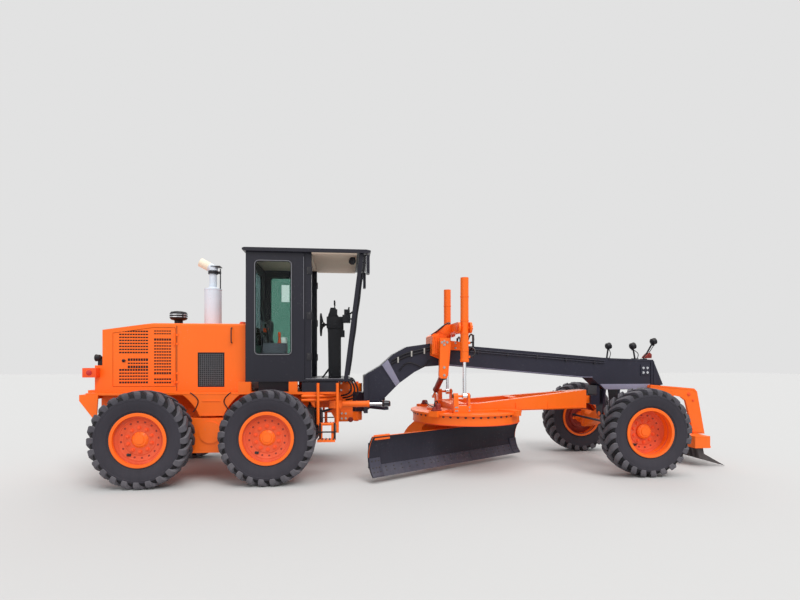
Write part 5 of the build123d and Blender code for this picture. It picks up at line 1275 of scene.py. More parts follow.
# %% Console and lever bank
details = Workpiece()
for y in (-0.105, -0.08, -0.055, 0.055, 0.08, 0.105):
    details.turned(at(0.861, y, 2.572), UP, [(0, 0), (0, 0.008), (0.002, 0.012), (0.014, 0.013), (0.022, 0.009),
        (0.024, 0)], 14)
for y in (-0.045, 0.045):
    details.turned(at(0.772, y, 2.37), (-0.97, 0, 0.24), [(-0.01, 0), (-0.01, 0.032), (0.006, 0.032), (0.008, 0.028),
        (0.008, 0)], 24)
details.block(at(0.742, -0.150, 2.16), at(0.985, -0.129, 2.34))
details.block(at(0.790, -0.142, 2.34), at(0.905, -0.129, 2.455))
details.block(at(0.955, -0.150, 2.03), at(1.018, 0.02, 2.13))
details.turned(at(0.86, -0.128, 2.21), (0, -1, 0), [(0, 0), (0, 0.052), (0.016, 0.050), (0.022, 0.030), (0.024, 0)], 24)
details.done("console_details", "rear_body", "black_plastic", 0.003)
bank = Workpiece()
bank.block(at(0.985, -0.40, 2.235), at(1.105, -0.20, 2.345))
bank.block(at(1.010, -0.36, 2.345), at(1.095, -0.24, 2.43))
bank.bar(at(1.07, -0.30, 2.40), at(1.085, -0.30, 2.47), 0.012)
bank.bar(at(1.10, -0.30, 2.37), at(1.165, -0.62, 2.385), 0.013)
bank.bar(at(1.10, -0.30, 2.29), at(1.155, -0.63, 2.265), 0.011)
bank.done("lever_bank", "rear_body", "black_plastic", 0.004)
print("console dressed")

# %% [markdown]
# A mirror stands outside each front post: a bright glass before the solid housing, on a bent arm.

# %% Mirrors
for side_name, way in SIDES:
    glassy = Workpiece().block(at(1.3265, way * 0.612, 2.915), at(1.3297, way * 0.728, 3.155))
    glassy.done(f"mirror_glass_{side_name}", "rear_body", "chrome", 0.001)
    arm = [at(1.27, way * 0.665, 3.15), at(1.30, way * 0.69, 3.17), at(1.352, way * 0.69, 3.172),
           at(1.362, way * 0.69, 3.165)]
    bent_tube(f"mirror_arm_{side_name}", arm, 0.009, "rear_body", "black_plastic")
print("mirrors:", len(SIDES))

# %% [markdown]
# ## The hinge and the step
# Behind the gooseneck, hoses leave the pump on the rear frame, loop beside the hinge and run along the beam on clips.
# Each hose here is clipped at both ends on one body, so it is a fixed pipe in this lesson.

# %% Hoses and plates beside the hinge
TAIL_SIDE = 0.2298     # of the frame's tail from the middle
for side_name, way in SIDES:
    for number, (x, drop) in enumerate(((1.00, 0.0), (1.05, 0.03), (1.10, 0.06))):
        y = way * (0.30 + 0.02 * number)
        run = [at(x - 0.02, y, 1.335), at(x - 0.02, y, 1.37), at(x + 0.05, way * 0.33, 1.385),
               at(x + 0.12, way * 0.35, 1.30 - drop), at(x + 0.11, way * 0.36, 1.19 - drop),
               at(x + 0.02, way * 0.33, 1.14 - drop), at(x - 0.06, way * 0.27, 1.13 - drop)]
        bent_tube(f"hinge_hose_{number}_{side_name}", run, 0.013, "rear_body", "black_plastic")
    plate = Workpiece()
    plate.block(at(0.935, way * TAIL_SIDE, 1.19), at(1.135, way * 0.242, 1.345))
    plate.block(at(0.955, way * TAIL_SIDE, 0.745), at(1.120, way * 0.242, 0.905))
    plate.done(f"tail_plate_{side_name}", "rear_body", "orange", 0.003)
    spots = [at(x, way * 0.2425, z) for x in (0.975, 1.035) for z in (0.785, 0.860)]
    spots += [at(x, way * 0.2425, z) for x in (0.965, 1.105) for z in (1.215, 1.320)]
    place_piece(f"tail_plate_bolts_{side_name}", studs(spots, (0, way, 0), 0.022, 0.014), "rear_body", "bolt_zinc")
    brackets = Workpiece()
    for x, z in ((0.955, 1.345), (1.02, 1.352), (1.08, 1.347)):
        brackets.block(at(x, way * 0.17, 1.3103), at(x + 0.022, way * 0.22, z + 0.035))
    brackets.done(f"hose_brackets_{side_name}", "rear_body", "orange", 0.002)
    drain = Workpiece().turned(at(1.105, way * 0.225, 0.765), (0.35, way, 0),
                               [(0, 0), (0, 0.040), (0.018, 0.040), (0.020, 0.030), (0.035, 0.028), (0.037, 0)], 20)
    drain.done(f"hinge_grease_cap_{side_name}", "rear_body", "red_oxide", 0.001)
print("hinge hoses: 3 a side")

# %% [markdown]
# The steering cylinders of the frame run beside the hinge. Their rod eyes wear black caps, and each barrel has two
# rings and a gland where the rod comes out.

# %% Frame cylinders
CYLINDER_SIDE, CYLINDER_HEIGHT, ROD_EYE = 0.500, 1.025, 1.630
for side_name, way in SIDES:
    foot = at(ROD_EYE, way * CYLINDER_SIDE, 0)
    eye = Workpiece().turned(foot + UP * 1.0555, UP, [(0, 0), (0, 0.060), (0.006, 0.060), (0.010, 0.050),
        (0.014, 0.046), (0.014, 0)], 32)
    eye.turned(foot + UP * 0.9945, -UP, [(0, 0.020), (0, 0.056), (0.006, 0.056), (0.010, 0.044), (0.010, 0.020)], 32,
               closed=True)
    eye.hoop(foot + UP * 0.998, UP, 0, 0.052, 0.0622, 0.0645, 40)
    eye.done(f"frame_rod_cap_{side_name}", f"frame_rod_{side_name}", "iron", 0.001)
    gland = Workpiece().turned(at(1.345, way * CYLINDER_SIDE, CYLINDER_HEIGHT), (1, 0, 0),
                               [(0, 0.0452), (0, 0.0500), (0.034, 0.0500), (0.0365, 0.046), (0.0365, 0.0225),
                                (0.0352, 0.0225), (0.0352, 0.0452)], 40, closed=True)
    for x in (1.075, 1.190):
        gland.hoop(at(x, way * CYLINDER_SIDE, CYLINDER_HEIGHT), (1, 0, 0), 0, 0.014, 0.0452, 0.0490, 40)
    gland.done(f"frame_barrel_rings_{side_name}", f"frame_barrel_{side_name}", "orange", 0.0008)
print("frame cylinders dressed:", len(SIDES))

# %% [markdown]
# Rubber straps hang the lowest tread, which has a ribbed grip. Two pipes leave the deck, and a third comes from the oil
# filter's tank.

# %% Step, pipes and filter
for side_name, way in SIDES:
    straps = Workpiece()
    for x in (0.668, 0.868):
        straps.block(at(x, way * 0.8685, 0.560), at(x + 0.030, way * 0.874, 0.800))
    straps.block(at(0.640, way * 0.865, 0.664), at(0.900, way * 0.882, 0.682))
    straps.done(f"step_straps_{side_name}", "rear_body", "black_plastic", 0.002)
    grip = Workpiece()
    for x in (0.665, 0.715, 0.765, 0.815, 0.865):
        grip.block(at(x - 0.010, way * 0.835, 0.5783), at(x + 0.010, way * 0.975, 0.584))
    grip.done(f"step_grip_{side_name}", "rear_body", "iron", 0.001)
PIPES = (
    # name, radius, points as station, side, height
    ("deck_pipe_high", 0.022,
     ((0.42, -0.755, 1.160), (0.60, -0.765, 1.160), (0.78, -0.70, 1.165), (0.90, -0.50, 1.170))),
    ("deck_pipe_low", 0.022,
     ((0.42, -0.755, 1.105), (0.60, -0.765, 1.105), (0.78, -0.68, 1.110), (0.90, -0.48, 1.115))),
    ("tank_pipe", 0.018, ((0.45, -0.60, 0.99), (0.60, -0.62, 0.93), (0.75, -0.56, 0.93), (0.84, -0.42, 0.96))),
)
for name, radius, points in PIPES:
    bent_tube(name, [at(*p) for p in points], radius, "rear_body", "orange" if "deck" in name else "black_plastic")
tank = Workpiece().turned(at(0.52, -0.62, 0.80), UP, [(0, 0), (0, 0.060), (0.01, 0.068), (0.19, 0.068), (0.20, 0.055),
    (0.20, 0.03), (0.23, 0.03), (0.23, 0)], 28)
tank.bar(at(0.52, -0.62, 1.02), at(0.52, -0.50, 1.10), 0.018)
tank.done("oil_filter", "rear_body", "iron", 0.001)
print("pipes:", len(PIPES))

# %% [markdown]
# A paler band crosses the gooseneck where its side plates are welded. Behind it the main hoses climb the beam on three
# clips and go into the saddle. Two parallel tubes with a little sag between the clips look like hose rather than pipe.

# %% Gooseneck
BEAM_SIDE = 0.1702     # of the beam's side plates from the middle
# stations and heights along the climbing hoses and along the thin loop below them
CLIMB = ((1.74, 1.66), (1.80, 1.69), (1.93, 1.76), (2.05, 1.80), (2.18, 1.83), (2.30, 1.86), (2.343, 1.87))
LOOP = ((1.86, 1.50), (1.92, 1.60), (2.02, 1.64), (2.13, 1.60), (2.20, 1.56), (2.28, 1.60), (2.342, 1.68))
for side_name, way in SIDES:
    y = way * BEAM_SIDE
    band = Workpiece()
    band.side_plate(((1.592, 1.596), (1.682, 1.680), (1.868, 1.328), (1.806, 1.268)), y, way * 0.003)
    band.done(f"gooseneck_band_{side_name}", "front_body", "band_grey", 0.001)
    seams = Workpiece()
    for line in (((1.574, 1.584), (1.590, 1.598), (1.806, 1.266), (1.795, 1.255)),
                 ((1.684, 1.684), (1.692, 1.691), (1.878, 1.335), (1.870, 1.328))):
        seams.side_plate(line, y, way * 0.006)
    seams.side_plate(((1.312, 0.865), (1.330, 0.885), (1.330, 1.448), (1.312, 1.432)), y, way * 0.005)
    seams.done(f"gooseneck_seams_{side_name}", "front_body", "beam_charcoal", 0.001)
    for number, shift in enumerate((0.0, 0.045)):
        run = [at(s, way * (0.182 + 0.006 * number), z - shift) for s, z in CLIMB]
        bent_tube(f"gooseneck_hose_{number}_{side_name}", run, 0.012, "front_body", "black_plastic")
    clips = Workpiece()
    for s, z in ((1.83, 1.70), (2.04, 1.795), (2.24, 1.838)):
        clips.block(at(s, y, z - 0.070), at(s + 0.022, way * 0.2025, z + 0.018))
    clips.done(f"gooseneck_clips_{side_name}", "front_body", "bolt_zinc", 0.002)
    bent_tube(f"gooseneck_loop_{side_name}", [at(s, way * 0.19, z) for s, z in LOOP], 0.009, "front_body",
              "black_plastic")
print("gooseneck dressed")

# %% [markdown]
# ## Lift cylinders and saddle
# The two tall barrels are honed tubes with a screwed gland at the mouth and a domed cap on top. Bolts hold the trunnion
# caps, the clamp's halves and the ribbed block.

# %% Barrels, caps and trunnions
LIFT_STATION, LIFT_SIDE, TRUNNION = 2.785, 0.600, 2.150      # station, side and trunnion's height of a lift cylinder
for side_name, way in SIDES:
    heart = at(LIFT_STATION, way * LIFT_SIDE, 0)
    dress = Workpiece()
    dress.turned(heart + UP * 1.6402, UP, [(0.0, 0.0275), (-0.0005, 0.052), (0.006, 0.0665), (0.042, 0.0665),
                                           (0.046, 0.0605), (0.046, 0.0602), (0.040, 0.0602), (0.004, 0.0602)], 40,
                 closed=True)
    for z in (1.80, 2.055, 2.245, 2.60):
        dress.hoop(heart + UP * z, UP, 0, 0.016, 0.0602, 0.0645, 40)
    for foot, top in ((1.700, 1.735), (1.905, 1.945)):
        dress.block(heart + Vector((0.058, -0.016, foot)), heart + Vector((0.082, 0.016, top)))
    dress.done(f"lift_barrel_rings_{side_name}", "front_body", "orange", 0.0012)
    caps = Workpiece()
    for x, out in ((2.683, -1), (2.887, 1)):
        caps.turned(at(x, way * LIFT_SIDE, TRUNNION), (out, 0, 0),
                    [(-0.001, 0), (-0.001, 0.058), (0.008, 0.058), (0.012, 0.040), (0.018, 0.036), (0.018, 0)], 32)
    caps.done(f"trunnion_caps_{side_name}", "front_body", "orange_red", 0.001)
    bolts = repeat(ring_tree, hex_nut((1, 0, 0), 0.005, 0.047, 0.008, 0.014), "bolt_zinc", Count=6,
                   Centre=at(2.887, way * LIFT_SIDE, TRUNNION), Axis=Vector((1, 0, 0)), First_Angle=0.3)
    place_piece(f"trunnion_bolts_{side_name}", bolts, "front_body", "bolt_zinc")
print("lift cylinders dressed:", len(SIDES))

# %% [markdown]
# The hoses leave each barrel at its cheek, swing over to the beam and are held side by side in one clamp. The saddle's
# clamp and block are bolted on both sides, but the left side has four more bolts, where the right one has the arm.

# %% Lift hoses and clamp bolts
LIFT_HOSES = (
    # name, stations, sides and heights along it
    ("high", ((2.868, 0.600, 1.925), (2.925, 0.590, 1.935), (2.945, 0.52, 2.02), (2.940, 0.40, 2.075),
              (2.935, 0.28, 2.03), (2.925, 0.235, 1.95), (2.905, 0.2102, 1.90))),
    ("low", ((2.868, 0.600, 1.718), (2.93, 0.595, 1.722), (2.965, 0.54, 1.80), (2.97, 0.40, 1.86), (2.95, 0.28, 1.83),
             (2.94, 0.19, 1.79), (2.94, 0.171, 1.77))),
)
LEFT_BOLTS = ((2.40, 1.80), (2.40, 2.02), (2.52, 1.72), (2.61, 1.78))
BOTH_BOLTS = ((2.61, 1.93), (2.88, 1.85), (2.88, 1.92), (2.74, 1.86), (2.74, 1.935))
for side_name, way in SIDES:
    for level, run in LIFT_HOSES:
        bent_tube(f"lift_hose_{level}_{side_name}", [at(s, way * y, z) for s, y, z in run], 0.013, "front_body",
                  "black_plastic")
    guard = Workpiece().block(at(2.925, way * 0.500, 1.86), at(2.955, way * 0.520, 2.05))
    guard.done(f"lift_hose_clamp_{side_name}", "front_body", "iron", 0.003)
    nuts = [at(x, way * 0.2105, z) for x, z in (LEFT_BOLTS if way > 0 else ()) + BOTH_BOLTS]
    place_piece(f"clamp_bolts_{side_name}", studs(nuts, (0, way, 0), 0.024, 0.016), "front_body", "bolt_zinc")
print("clamp bolts:", len(LEFT_BOLTS) + 2 * len(BOTH_BOLTS))

# %% [markdown]
# The hanging arm carries the centre-shift cylinder. Its lower end has a dark boot over the hinge, and nuts along its
# face. Paler orange plates on the crossbar's top and sides, where the hoses lie, are a painted highlight. The cylinder
# itself is a dark red: its own red, with painted shade of the beam's shadow. It has a collar at its gland.

# %% Arm, crossbar and centre-shift cylinder
ARM_FACE = -0.5102
spots = [at(2.50, ARM_FACE, z) for z in (1.445, 1.56, 1.90, 1.955)] + [at(x, ARM_FACE, 1.935) for x in (2.465, 2.545)]
place_piece("arm_bolts", studs(spots, (0, -1, 0), 0.026, 0.018), "front_body", "bolt_zinc")
boot = Workpiece().turned(at(2.4925, -0.470, 1.3948), (0, 0, -1),
                          [(0, 0), (0, 0.034), (0.008, 0.038), (0.018, 0.035), (0.023, 0.020), (0.023, 0)], 24)
boot.block(at(2.452, -0.505, 1.380), at(2.535, -0.435, 1.3948))
boot.done("arm_end_cap", "front_body", "iron", 0.003)
web = Workpiece().side_plate(((2.447, 1.97), (2.575, 1.97), (2.590, 1.90), (2.555, 1.46), (2.528, 1.43), (2.520, 1.43),
                              (2.545, 1.47), (2.577, 1.90), (2.565, 1.955), (2.455, 1.955)), -0.5103, -0.005)
web.done("arm_rim", "front_body", "orange", 0.001)
# paler orange plates on the crossbar's top and sides: painted highlight
top = Workpiece()
for way in (1, -1):
    top.block(at(2.700, way * 0.20, 2.2353), at(2.870, way * 0.42, 2.2395))
    top.side_plate(((2.640, 2.06), (2.676, 2.11), (2.676, 2.225), (2.610, 2.215), (2.470, 2.115)), way * 0.1505,
                   way * 0.006)
top.done("crossbar_pads", "front_body", "orange", 0.002)
over = [at(2.74, 0.38, 2.262), at(2.74, 0.18, 2.268), at(2.70, 0.02, 2.27), at(2.64, -0.10, 2.262),
        at(2.52, -0.17, 2.18), at(2.44, -0.19, 2.11), at(2.36, -0.195, 2.062)]
bent_tube("crossbar_hose", over, 0.012, "front_body", "black_plastic")
start = at(2.500, -0.390, 1.440)
lengthwise = (at(2.500, 0.400, 1.075) - start).normalized()
# the collar and the cylinder are dark red: their own red, with painted shade of the beam's shadow
collar = Workpiece().turned(start + lengthwise * 0.560, lengthwise,
                            [(0, 0.0452), (0, 0.0505), (0.036, 0.0505), (0.0405, 0.046), (0.0405, 0.0225),
                             (0.0402, 0.0225), (0.0402, 0.0452)], 32, closed=True)
collar.hoop(start + lengthwise * 0.082, lengthwise, 0, 0.016, 0.0452, 0.0500, 32)
port = start + lengthwise * 0.14
collar.block(port + Vector((-0.015, -0.012, 0.040)), port + Vector((0.015, 0.012, 0.066)))
collar.done("shift_collars", "shift_barrel", "red_oxide", 0.001)
print("arm and crossbar dressed")

# %% [markdown]
# ## Circle, drawbar and blade
# The circle turns on wear strips, held up by bolted shoes. The row of dark bolts under the lip goes round the ring,
# which is the ring tree's work. Below it a stiffening plate ties the two blade arms together. The blade is measured
# along its own length, so a helper turns that length into the frame's place.

# %% Circle
RING = at(2.950, 0, 0)
BLADE_TURN = radians(31.3)             # of the blade's length from straight ahead
ALONG = Vector((cos(BLADE_TURN), sin(BLADE_TURN), 0))
AHEAD = Vector((ALONG.y, -ALONG.x, 0))


def by_blade(along, ahead, height):
    """Point by the blade: along its length and ahead of the circle's centre."""
    return RING + ALONG * along + AHEAD * ahead + UP * height


ring_bolts = repeat(ring_tree, hex_nut((1, 0, 0), 0.8401, 0.0, 0.008, 0.020), "iron", Count=48,
                    Centre=RING + UP * 0.842, Axis=UP, First_Angle=0.02)
place_piece("ring_bolts", ring_bolts, "circle", "iron")
wear = Workpiece().turned(RING + UP * 0.7148, UP, [(0, 0.781), (0, 0.8445), (0.012, 0.8445), (0.012, 0.8402),
    (0.0003, 0.8402), (0.0003, 0.781)], 120, closed=True)
wear.hoop(RING + UP * 0.8502, UP, 0, 0.0115, 0.8402, 0.8475, 120)
wear.done("ring_wear_strips", "circle", "orange_red", 0.001)
tie = Workpiece()
tie.prism([by_blade(a, n, 0.500) for a, n in ((-0.735, -0.180), (0.735, -0.180), (0.735, -0.165), (-0.735, -0.165))],
          (0, 0, 0.2144))
for a in (-0.5, -0.17, 0.17, 0.5):
    tie.prism([by_blade(a, -0.1645, 0.7145), by_blade(a, -0.085, 0.7145), by_blade(a, -0.1645, 0.600)], ALONG * 0.016)
tie.done("arm_tie_plate", "circle", "orange", 0.003)
print("ring bolts and arm tie made")

# %% [markdown]
# The turning drive is a pair of small housings on one of the drawbar's shoe arms and a third on the other arm, with a
# hose over the pair and one across.

# %% Circle drive
ARM_TOP = 0.9226       # height of the shoe arms' upper side
drive = Workpiece()
for x, y, radius, top in ((2.388, -0.562, 0.050, 1.030), (2.326, -0.624, 0.030, 0.985), (2.384, 0.566, 0.050, 0.990)):
    height = top - ARM_TOP
    drive.turned(at(x, y, ARM_TOP), UP, [(0, 0), (0, radius * 1.25), (0.018, radius * 1.25), (0.024, radius),
                                         (height - 0.02, radius), (height, radius * 0.7), (height, 0)], 28)
drive.prism([at(x, y, ARM_TOP) for x, y in ((2.452, -0.560), (2.390, -0.498), (2.280, -0.608), (2.342, -0.670))],
            (0, 0, 0.014))
drive.done("circle_drive", "drawbar", "red_oxide", 0.002)
DRIVE_HOSES = (
    # name, stations, sides and heights along it
    ("a", ((2.388, -0.562, 1.027), (2.384, -0.567, 1.062), (2.352, -0.598, 1.070), (2.328, -0.620, 1.030),
           (2.326, -0.624, 0.982))),
    ("b", ((2.384, -0.516, 0.985), (2.382, -0.460, 0.985), (2.392, -0.340, 0.950), (2.382, -0.100, 0.943),
           (2.382, 0.120, 0.943), (2.392, 0.340, 0.950), (2.386, 0.516, 0.965))),
)
for letter, run in DRIVE_HOSES:
    bent_tube(f"drive_hose_{letter}", [at(*p) for p in run], 0.009, "drawbar", "black_plastic")
print("circle drive: 3 housings,", len(DRIVE_HOSES), "hoses")

# %% [markdown]
# The drawbar is welded plate. A strip with two uprights along each outer edge, a cover plate and the bolts of the lift
# lugs show on it, and a thin pad lies on each side of its nose. The pins of the lift rods have caps.

# %% Drawbar plates
plates, lug_caps = Workpiece(), Workpiece()
for side_name, way in SIDES:
    outer = [at(3.12, way * 0.479, 0.905), at(4.88, way * 0.125, 0.905)]
    edge = (outer[1] - outer[0]).normalized()
    side = Vector((edge.y, -edge.x, 0)) * (-way)
    plates.prism([outer[0] + side * 0.0004, outer[1] + side * 0.0004, outer[1] + side * 0.010, outer[0] + side * 0.010],
                 (0, 0, 0.014))
    for share in (0.30, 0.62):
        foot = outer[0].lerp(outer[1], share)
        plates.prism([foot + side * 0.0004, foot + edge * 0.012 + side * 0.0004, foot + edge * 0.012 + side * 0.007,
                      foot + side * 0.007], (0, 0, 0.115))
    nuts = [at(x, way * 0.6605, z) for x in (2.640, 2.665, 2.845) for z in (0.925, 0.975)]
    place_piece(f"lug_bolts_{side_name}", studs(nuts, (0, way, 0), 0.018, 0.012), "drawbar", "bolt_zinc")
    for x, out in ((2.6148, -1), (2.8602, 1)):
        lug_caps.turned(at(x, way * LIFT_SIDE, 1.135), (out, 0, 0),
                        [(0, 0), (0, 0.030), (0.010, 0.030), (0.014, 0.018), (0.014, 0)], 24)
    plates.block(at(4.905, way * 0.0903, 1.000), at(4.985, way * 0.0925, 1.080))
plates.block(at(3.62, -0.20, 1.0730), at(3.745, 0.20, 1.083))
plates.done("drawbar_plates", "drawbar", "orange", 0.002)
lug_caps.done("lift_pin_caps", "drawbar", "iron", 0.001)
print("drawbar dressed")

# %% [markdown]
# The cutting edge is a separate hard strip bolted along the foot of the blade, with a taller bit at each end. Both
# follow the blade's curve, so they are swept from the same arc. Their bolts are countersunk and look like a row of dark
# dots, made by the grid tree with a step along the blade.

# %% Skin along the blade's curve
CURVE_R, CURVE_N, CURVE_Z = 0.4007, 0.4627, 0.3575         # radius, and its middle ahead of the circle and in height


def blade_face(height, proud=0.0):
    """How far ahead the blade's front is at a height."""
    return CURVE_N - ((CURVE_R - proud) ** 2 - (height - CURVE_Z) ** 2) ** 0.5


def blade_skin(work, start, end, low, high, proud, steps=10):
    """Plate that lies on the blade's front from start to end, between two heights."""
    levels = [low + (high - low) * i / steps for i in range(steps + 1)]
    front = [by_blade(start, blade_face(z, proud), z) for z in levels]
    back = [by_blade(start, blade_face(z, 0.0003), z) for z in reversed(levels)]
    work.prism(front + back, ALONG * (end - start))


print("blade face at mid height:", round(blade_face(CURVE_Z), 4), "m ahead of the circle")

# %% [markdown]
# The edge is in two lengths with a small gap between. The end bits lie over it, and are thicker and taller.

# %% Cutting edge and end bits
edge = Workpiece()
for start, end in ((-1.918, -0.005), (0.000, 1.158)):
    blade_skin(edge, start, end, 0.0855, 0.232, 0.009)
for start, end in ((-1.9185, -1.735), (0.990, 1.1585)):
    blade_skin(edge, start, end, 0.100, 0.330, 0.017)
edge.done("cutting_edge", "moldboard", "edge_steel", 0.0015)
DOT = ((-0.002, 0), (-0.002, 0.013), (0.0025, 0.012))
dots = []
for low in (0.195, 0.150):
    spot = by_blade(-1.66, blade_face(low, 0.0092), low)
    unit = Workpiece().turned((0, 0, 0), AHEAD, [*DOT, (0.003, 0.006), (0.0005, 0.005), (0.0005, 0)], 12)
    dots.append(repeat(grid_tree, unit.mesh_data("dot"), "iron", Columns=20, Rows=1, Start=spot,
                       Column_Step=ALONG * 0.1366))
for start in (-1.88, -1.82, -1.77, 1.03, 1.08, 1.13):
    for low in (0.145, 0.20, 0.29):
        spot = by_blade(start, blade_face(low, 0.0172), low)
        dots.append(Workpiece().turned(spot, AHEAD, [(-0.002, 0), (-0.002, 0.012), (0.0025, 0.011), (0.0025, 0)],
                                       12).mesh_data("dot"))
place_piece("edge_bolts", joined(*dots), "moldboard", "iron")
print("edge bolted:", len(dots), "sets of bolts")

# %% [markdown]
# A bright rim closes each end of the blade, and a stiffening strip with a lug lies behind its upper edge.

# %% Rims of the blade
BLADE_TOP = blade_face(0.629)


def behind_top(start, end, far, near, height):
    """Level plate behind the blade's upper edge, from start to end along it."""
    corners = ((start, far), (end, far), (end, near), (start, near))
    return [by_blade(a, BLADE_TOP - back, height) for a, back in corners]


rim = Workpiece()
for start, end in ((-1.9203, -1.9145), (1.1545, 1.1603)):
    blade_skin(rim, start, end, 0.340, 0.6298, 0.003)
rim.prism(behind_top(-1.87, -1.62, 0.055, 0.021, 0.585), (0, 0, 0.066))
rim.prism(behind_top(-1.915, 1.155, 0.040, 0.0205, 0.630), (0, 0, 0.006))
rim.done("blade_end_rims", "moldboard", "orange", 0.001)
print("blade rims made")

# %% [markdown]
# ## Nose, lamps and scarifier
# The beam's nose is a welded box with a bolted side plate. A pale seam runs along the beam's lower edge, where primer
# shows, and two pipes run along its side on five clips.

# %% Nose and beam seams
# stations and heights along the seam and along the pipes
SEAM_RUN = ((2.62, 1.5925), (3.10, 1.5455), (4.86, 1.3915), (5.00, 1.3900))
PIPE_RUN = ((2.925, 1.895), (3.10, 1.882), (3.80, 1.823), (4.50, 1.767), (5.20, 1.710))
for side_name, way in SIDES:
    y = way * BEAM_SIDE
    nose = Workpiece()
    nose.side_plate(((5.995, 1.66), (6.012, 1.66), (6.012, 1.215), (5.995, 1.215)), y, way * 0.010)
    nose.side_plate(((6.045, 1.655), (6.058, 1.648), (6.058, 1.235), (6.045, 1.225)), y, way * 0.006)
    nose.side_plate(((5.27, 1.695), (5.99, 1.668), (5.99, 1.650), (5.27, 1.675)), y, way * 0.006)
    nose.done(f"nose_plate_{side_name}", "front_body", "beam_charcoal", 0.0015)
    grey = Workpiece()
    grey.side_plate(((5.13, 1.285), (5.985, 1.285), (5.985, 1.198), (5.215, 1.198)), y, way * 0.0035)
    grey.done(f"nose_foot_band_{side_name}", "front_body", "band_grey", 0.001)
    nuts = [at(x, way * 0.1805, z) for x in (5.865, 5.935) for z in (1.545, 1.470)]
    place_piece(f"nose_bolts_{side_name}", studs(nuts, (0, way, 0), 0.026, 0.014), "front_body", "chrome")
    pad = Workpiece().side_plate(((5.82, 1.60), (5.98, 1.60), (5.98, 1.42), (5.82, 1.42)), y, way * 0.010)
    pad.done(f"nose_bolt_pad_{side_name}", "front_body", "beam_charcoal", 0.002)
    seam = Workpiece()
    for (s0, z0), (s1, z1) in zip(SEAM_RUN, SEAM_RUN[1:]):
        seam.side_plate(((s0, z0 + 0.004), (s1, z1 + 0.004), (s1, z1 + 0.013), (s0, z0 + 0.013)), y, way * 0.003)
    seam.done(f"beam_seam_{side_name}", "front_body", "band_grey", 0.0005)
    for number, drop in enumerate((0.050, 0.085)):
        line = [at(s, way * (0.183 + 0.004 * number), z - drop) for s, z in PIPE_RUN]
        bent_tube(f"beam_pipe_{number}_{side_name}", line, 0.008, "front_body", "beam_charcoal")
    clip = Workpiece().block((0, y, -0.045), (0.016, way * 0.193, 0.012)).mesh_data("clip")
    clips = repeat(grid_tree, clip, "iron", Columns=5, Rows=1, Start=at(3.10, 0, 1.815),
                   Column_Step=Vector((0.48, 0, -0.040)))
    place_piece(f"beam_clips_{side_name}", clips, "front_body", "iron")
print("nose dressed")

# %% [markdown]
# Three lamps stand on stalks over the nose, each with a lens in a rim, a swivel and a cable. They are tilted up a
# little. The last one has a red bracket.

# %% Lamps
LAMPS = (
    # station of the foot, side, station and height of the head
    (5.415, 0.130, 5.444, 1.911),
    (5.750, -0.130, 5.712, 1.903),
    (5.985, 0.000, 6.160, 1.985),
)
rims, lens, stalks = Workpiece(), Workpiece(), Workpiece()
tilt = Vector((0.052, 0, 0.016)).normalized()
for foot, y, station, height in LAMPS:
    head = at(station, y, height)
    rims.turned(head, tilt, [(0.0275, 0.046), (0.033, 0.049), (0.034, 0.053), (0.024, 0.0555), (0.010, 0.0555),
                             (0.010, 0.0542), (0.0275, 0.0542)], 32, closed=True)
    rims.turned(head - tilt * 0.0275, -tilt, [(-0.002, 0), (-0.002, 0.050), (0.012, 0.042), (0.020, 0.024), (0.022, 0)],
                28)
    lens.turned(head + tilt * 0.0275, tilt, [(0, 0), (0, 0.0455), (0.003, 0.040), (0.005, 0.020), (0.0055, 0)], 28)
    stalks.turned(at(station, y, height - 0.056), (0, 0, -1),
                  [(-0.004, 0), (-0.004, 0.020), (0.012, 0.020), (0.016, 0.014), (0.016, 0)], 16)
rims.done("lamp_rims", "front_body", "black_plastic", 0.001)
lens.done("lamp_lenses", "front_body", "lamp_clear")
stalks.done("lamp_swivels", "front_body", "iron", 0.001)
BRACKET = ((5.975, 1.7045), (6.10, 1.7045), (6.105, 1.745), (6.085, 1.790), (6.06, 1.800), (6.00, 1.745))
tab = Workpiece()
for y in (-0.045, 0.025):
    tab.side_plate(BRACKET, y, 0.020)
tab.block(at(6.045, -0.05, 1.735), at(6.100, 0.05, 1.775))
tab.done("lamp_bracket", "front_body", "red_oxide", 0.004)
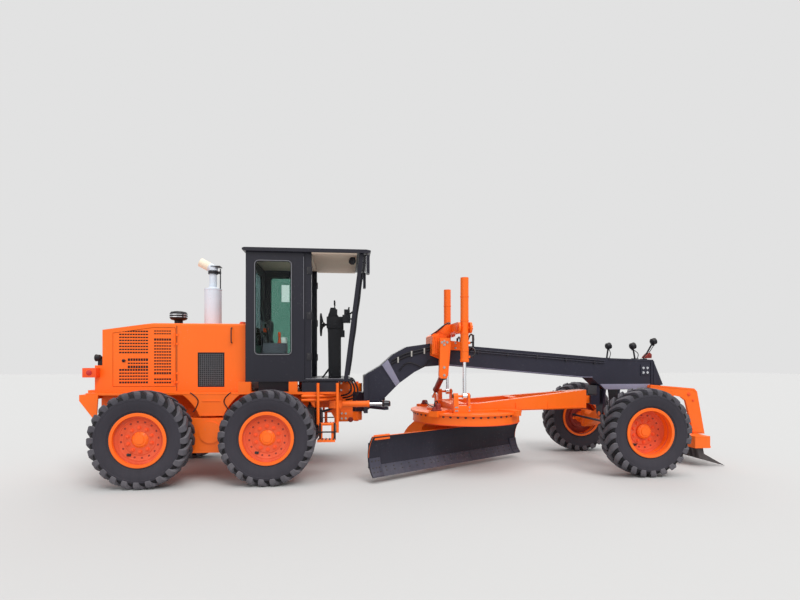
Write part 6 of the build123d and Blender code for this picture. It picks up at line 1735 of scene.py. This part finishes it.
for number, (foot, y, station, height) in enumerate(LAMPS):
    line = [at(foot + 0.04, y, 1.700 if foot < 5.8 else 1.695), at(foot + 0.07, y, 1.76),
            at((foot + station) / 2 + 0.05, y, (1.72 + height) / 2), at(station + 0.01, y, height - 0.06)]
    bent_tube(f"lamp_cable_{number}", line, 0.006, "front_body", "black_plastic")
print("lamps:", len(LAMPS))

# %% [markdown]
# The scarifier's arms have pin bosses and a ledge along their top, and its tool bar carries a clamp for every shank.

# %% Scarifier
SHANKS, SHANK_PITCH = 11, 0.104
arms, shanks, pins = Workpiece(), Workpiece(), Workpiece()
for way in (1, -1):
    for side, out in ((0.2700, -1), (0.3100, 1)):
        for s, z, r in ((6.555, 1.120, 0.030), (6.630, 1.020, 0.020)):
            pins.turned(at(s, way * side, z), (0, way * out, 0),
                        [(-0.002, 0), (-0.002, r), (0.006, r), (0.009, r * 0.6), (0.012, r * 0.6), (0.012, 0)], 20)
    arms.side_plate(((6.62, 0.56), (6.78, 0.56), (6.79, 0.50), (6.61, 0.50)), way * 0.3102, way * 0.008)
    arms.side_plate(((5.915, 1.262), (6.640, 1.199), (6.684, 1.158), (6.672, 1.158), (6.634, 1.190), (5.915, 1.252)),
                    way * 0.3102, way * 0.004)
for number in range(SHANKS):
    side = SHANK_PITCH * (number - (SHANKS - 1) / 2)
    shanks.block(at(6.528, side - 0.024, 0.280), at(6.616, side + 0.024, 0.2998))
    shanks.block(at(6.6902, side - 0.022, 0.34), at(6.704, side + 0.022, 0.45))
for z in (0.300, 0.474):
    arms.block(at(6.44, -0.602, z), at(6.69, -0.6003, z + 0.012))
arms.done("scarifier_trim", "scarifier", "orange", 0.001)
pins.done("scarifier_pins", "scarifier", "orange_red", 0.001)
shanks.done("shank_clamps", "scarifier", "iron", 0.003)
strip = Workpiece().block(at(6.6902, -0.598, 0.305), at(6.7015, 0.598, 0.335))
strip.done("tool_bar_strip", "scarifier", "orange", 0.002)
print("shanks clamped:", SHANKS)

# %% Last cell: the json module
import json
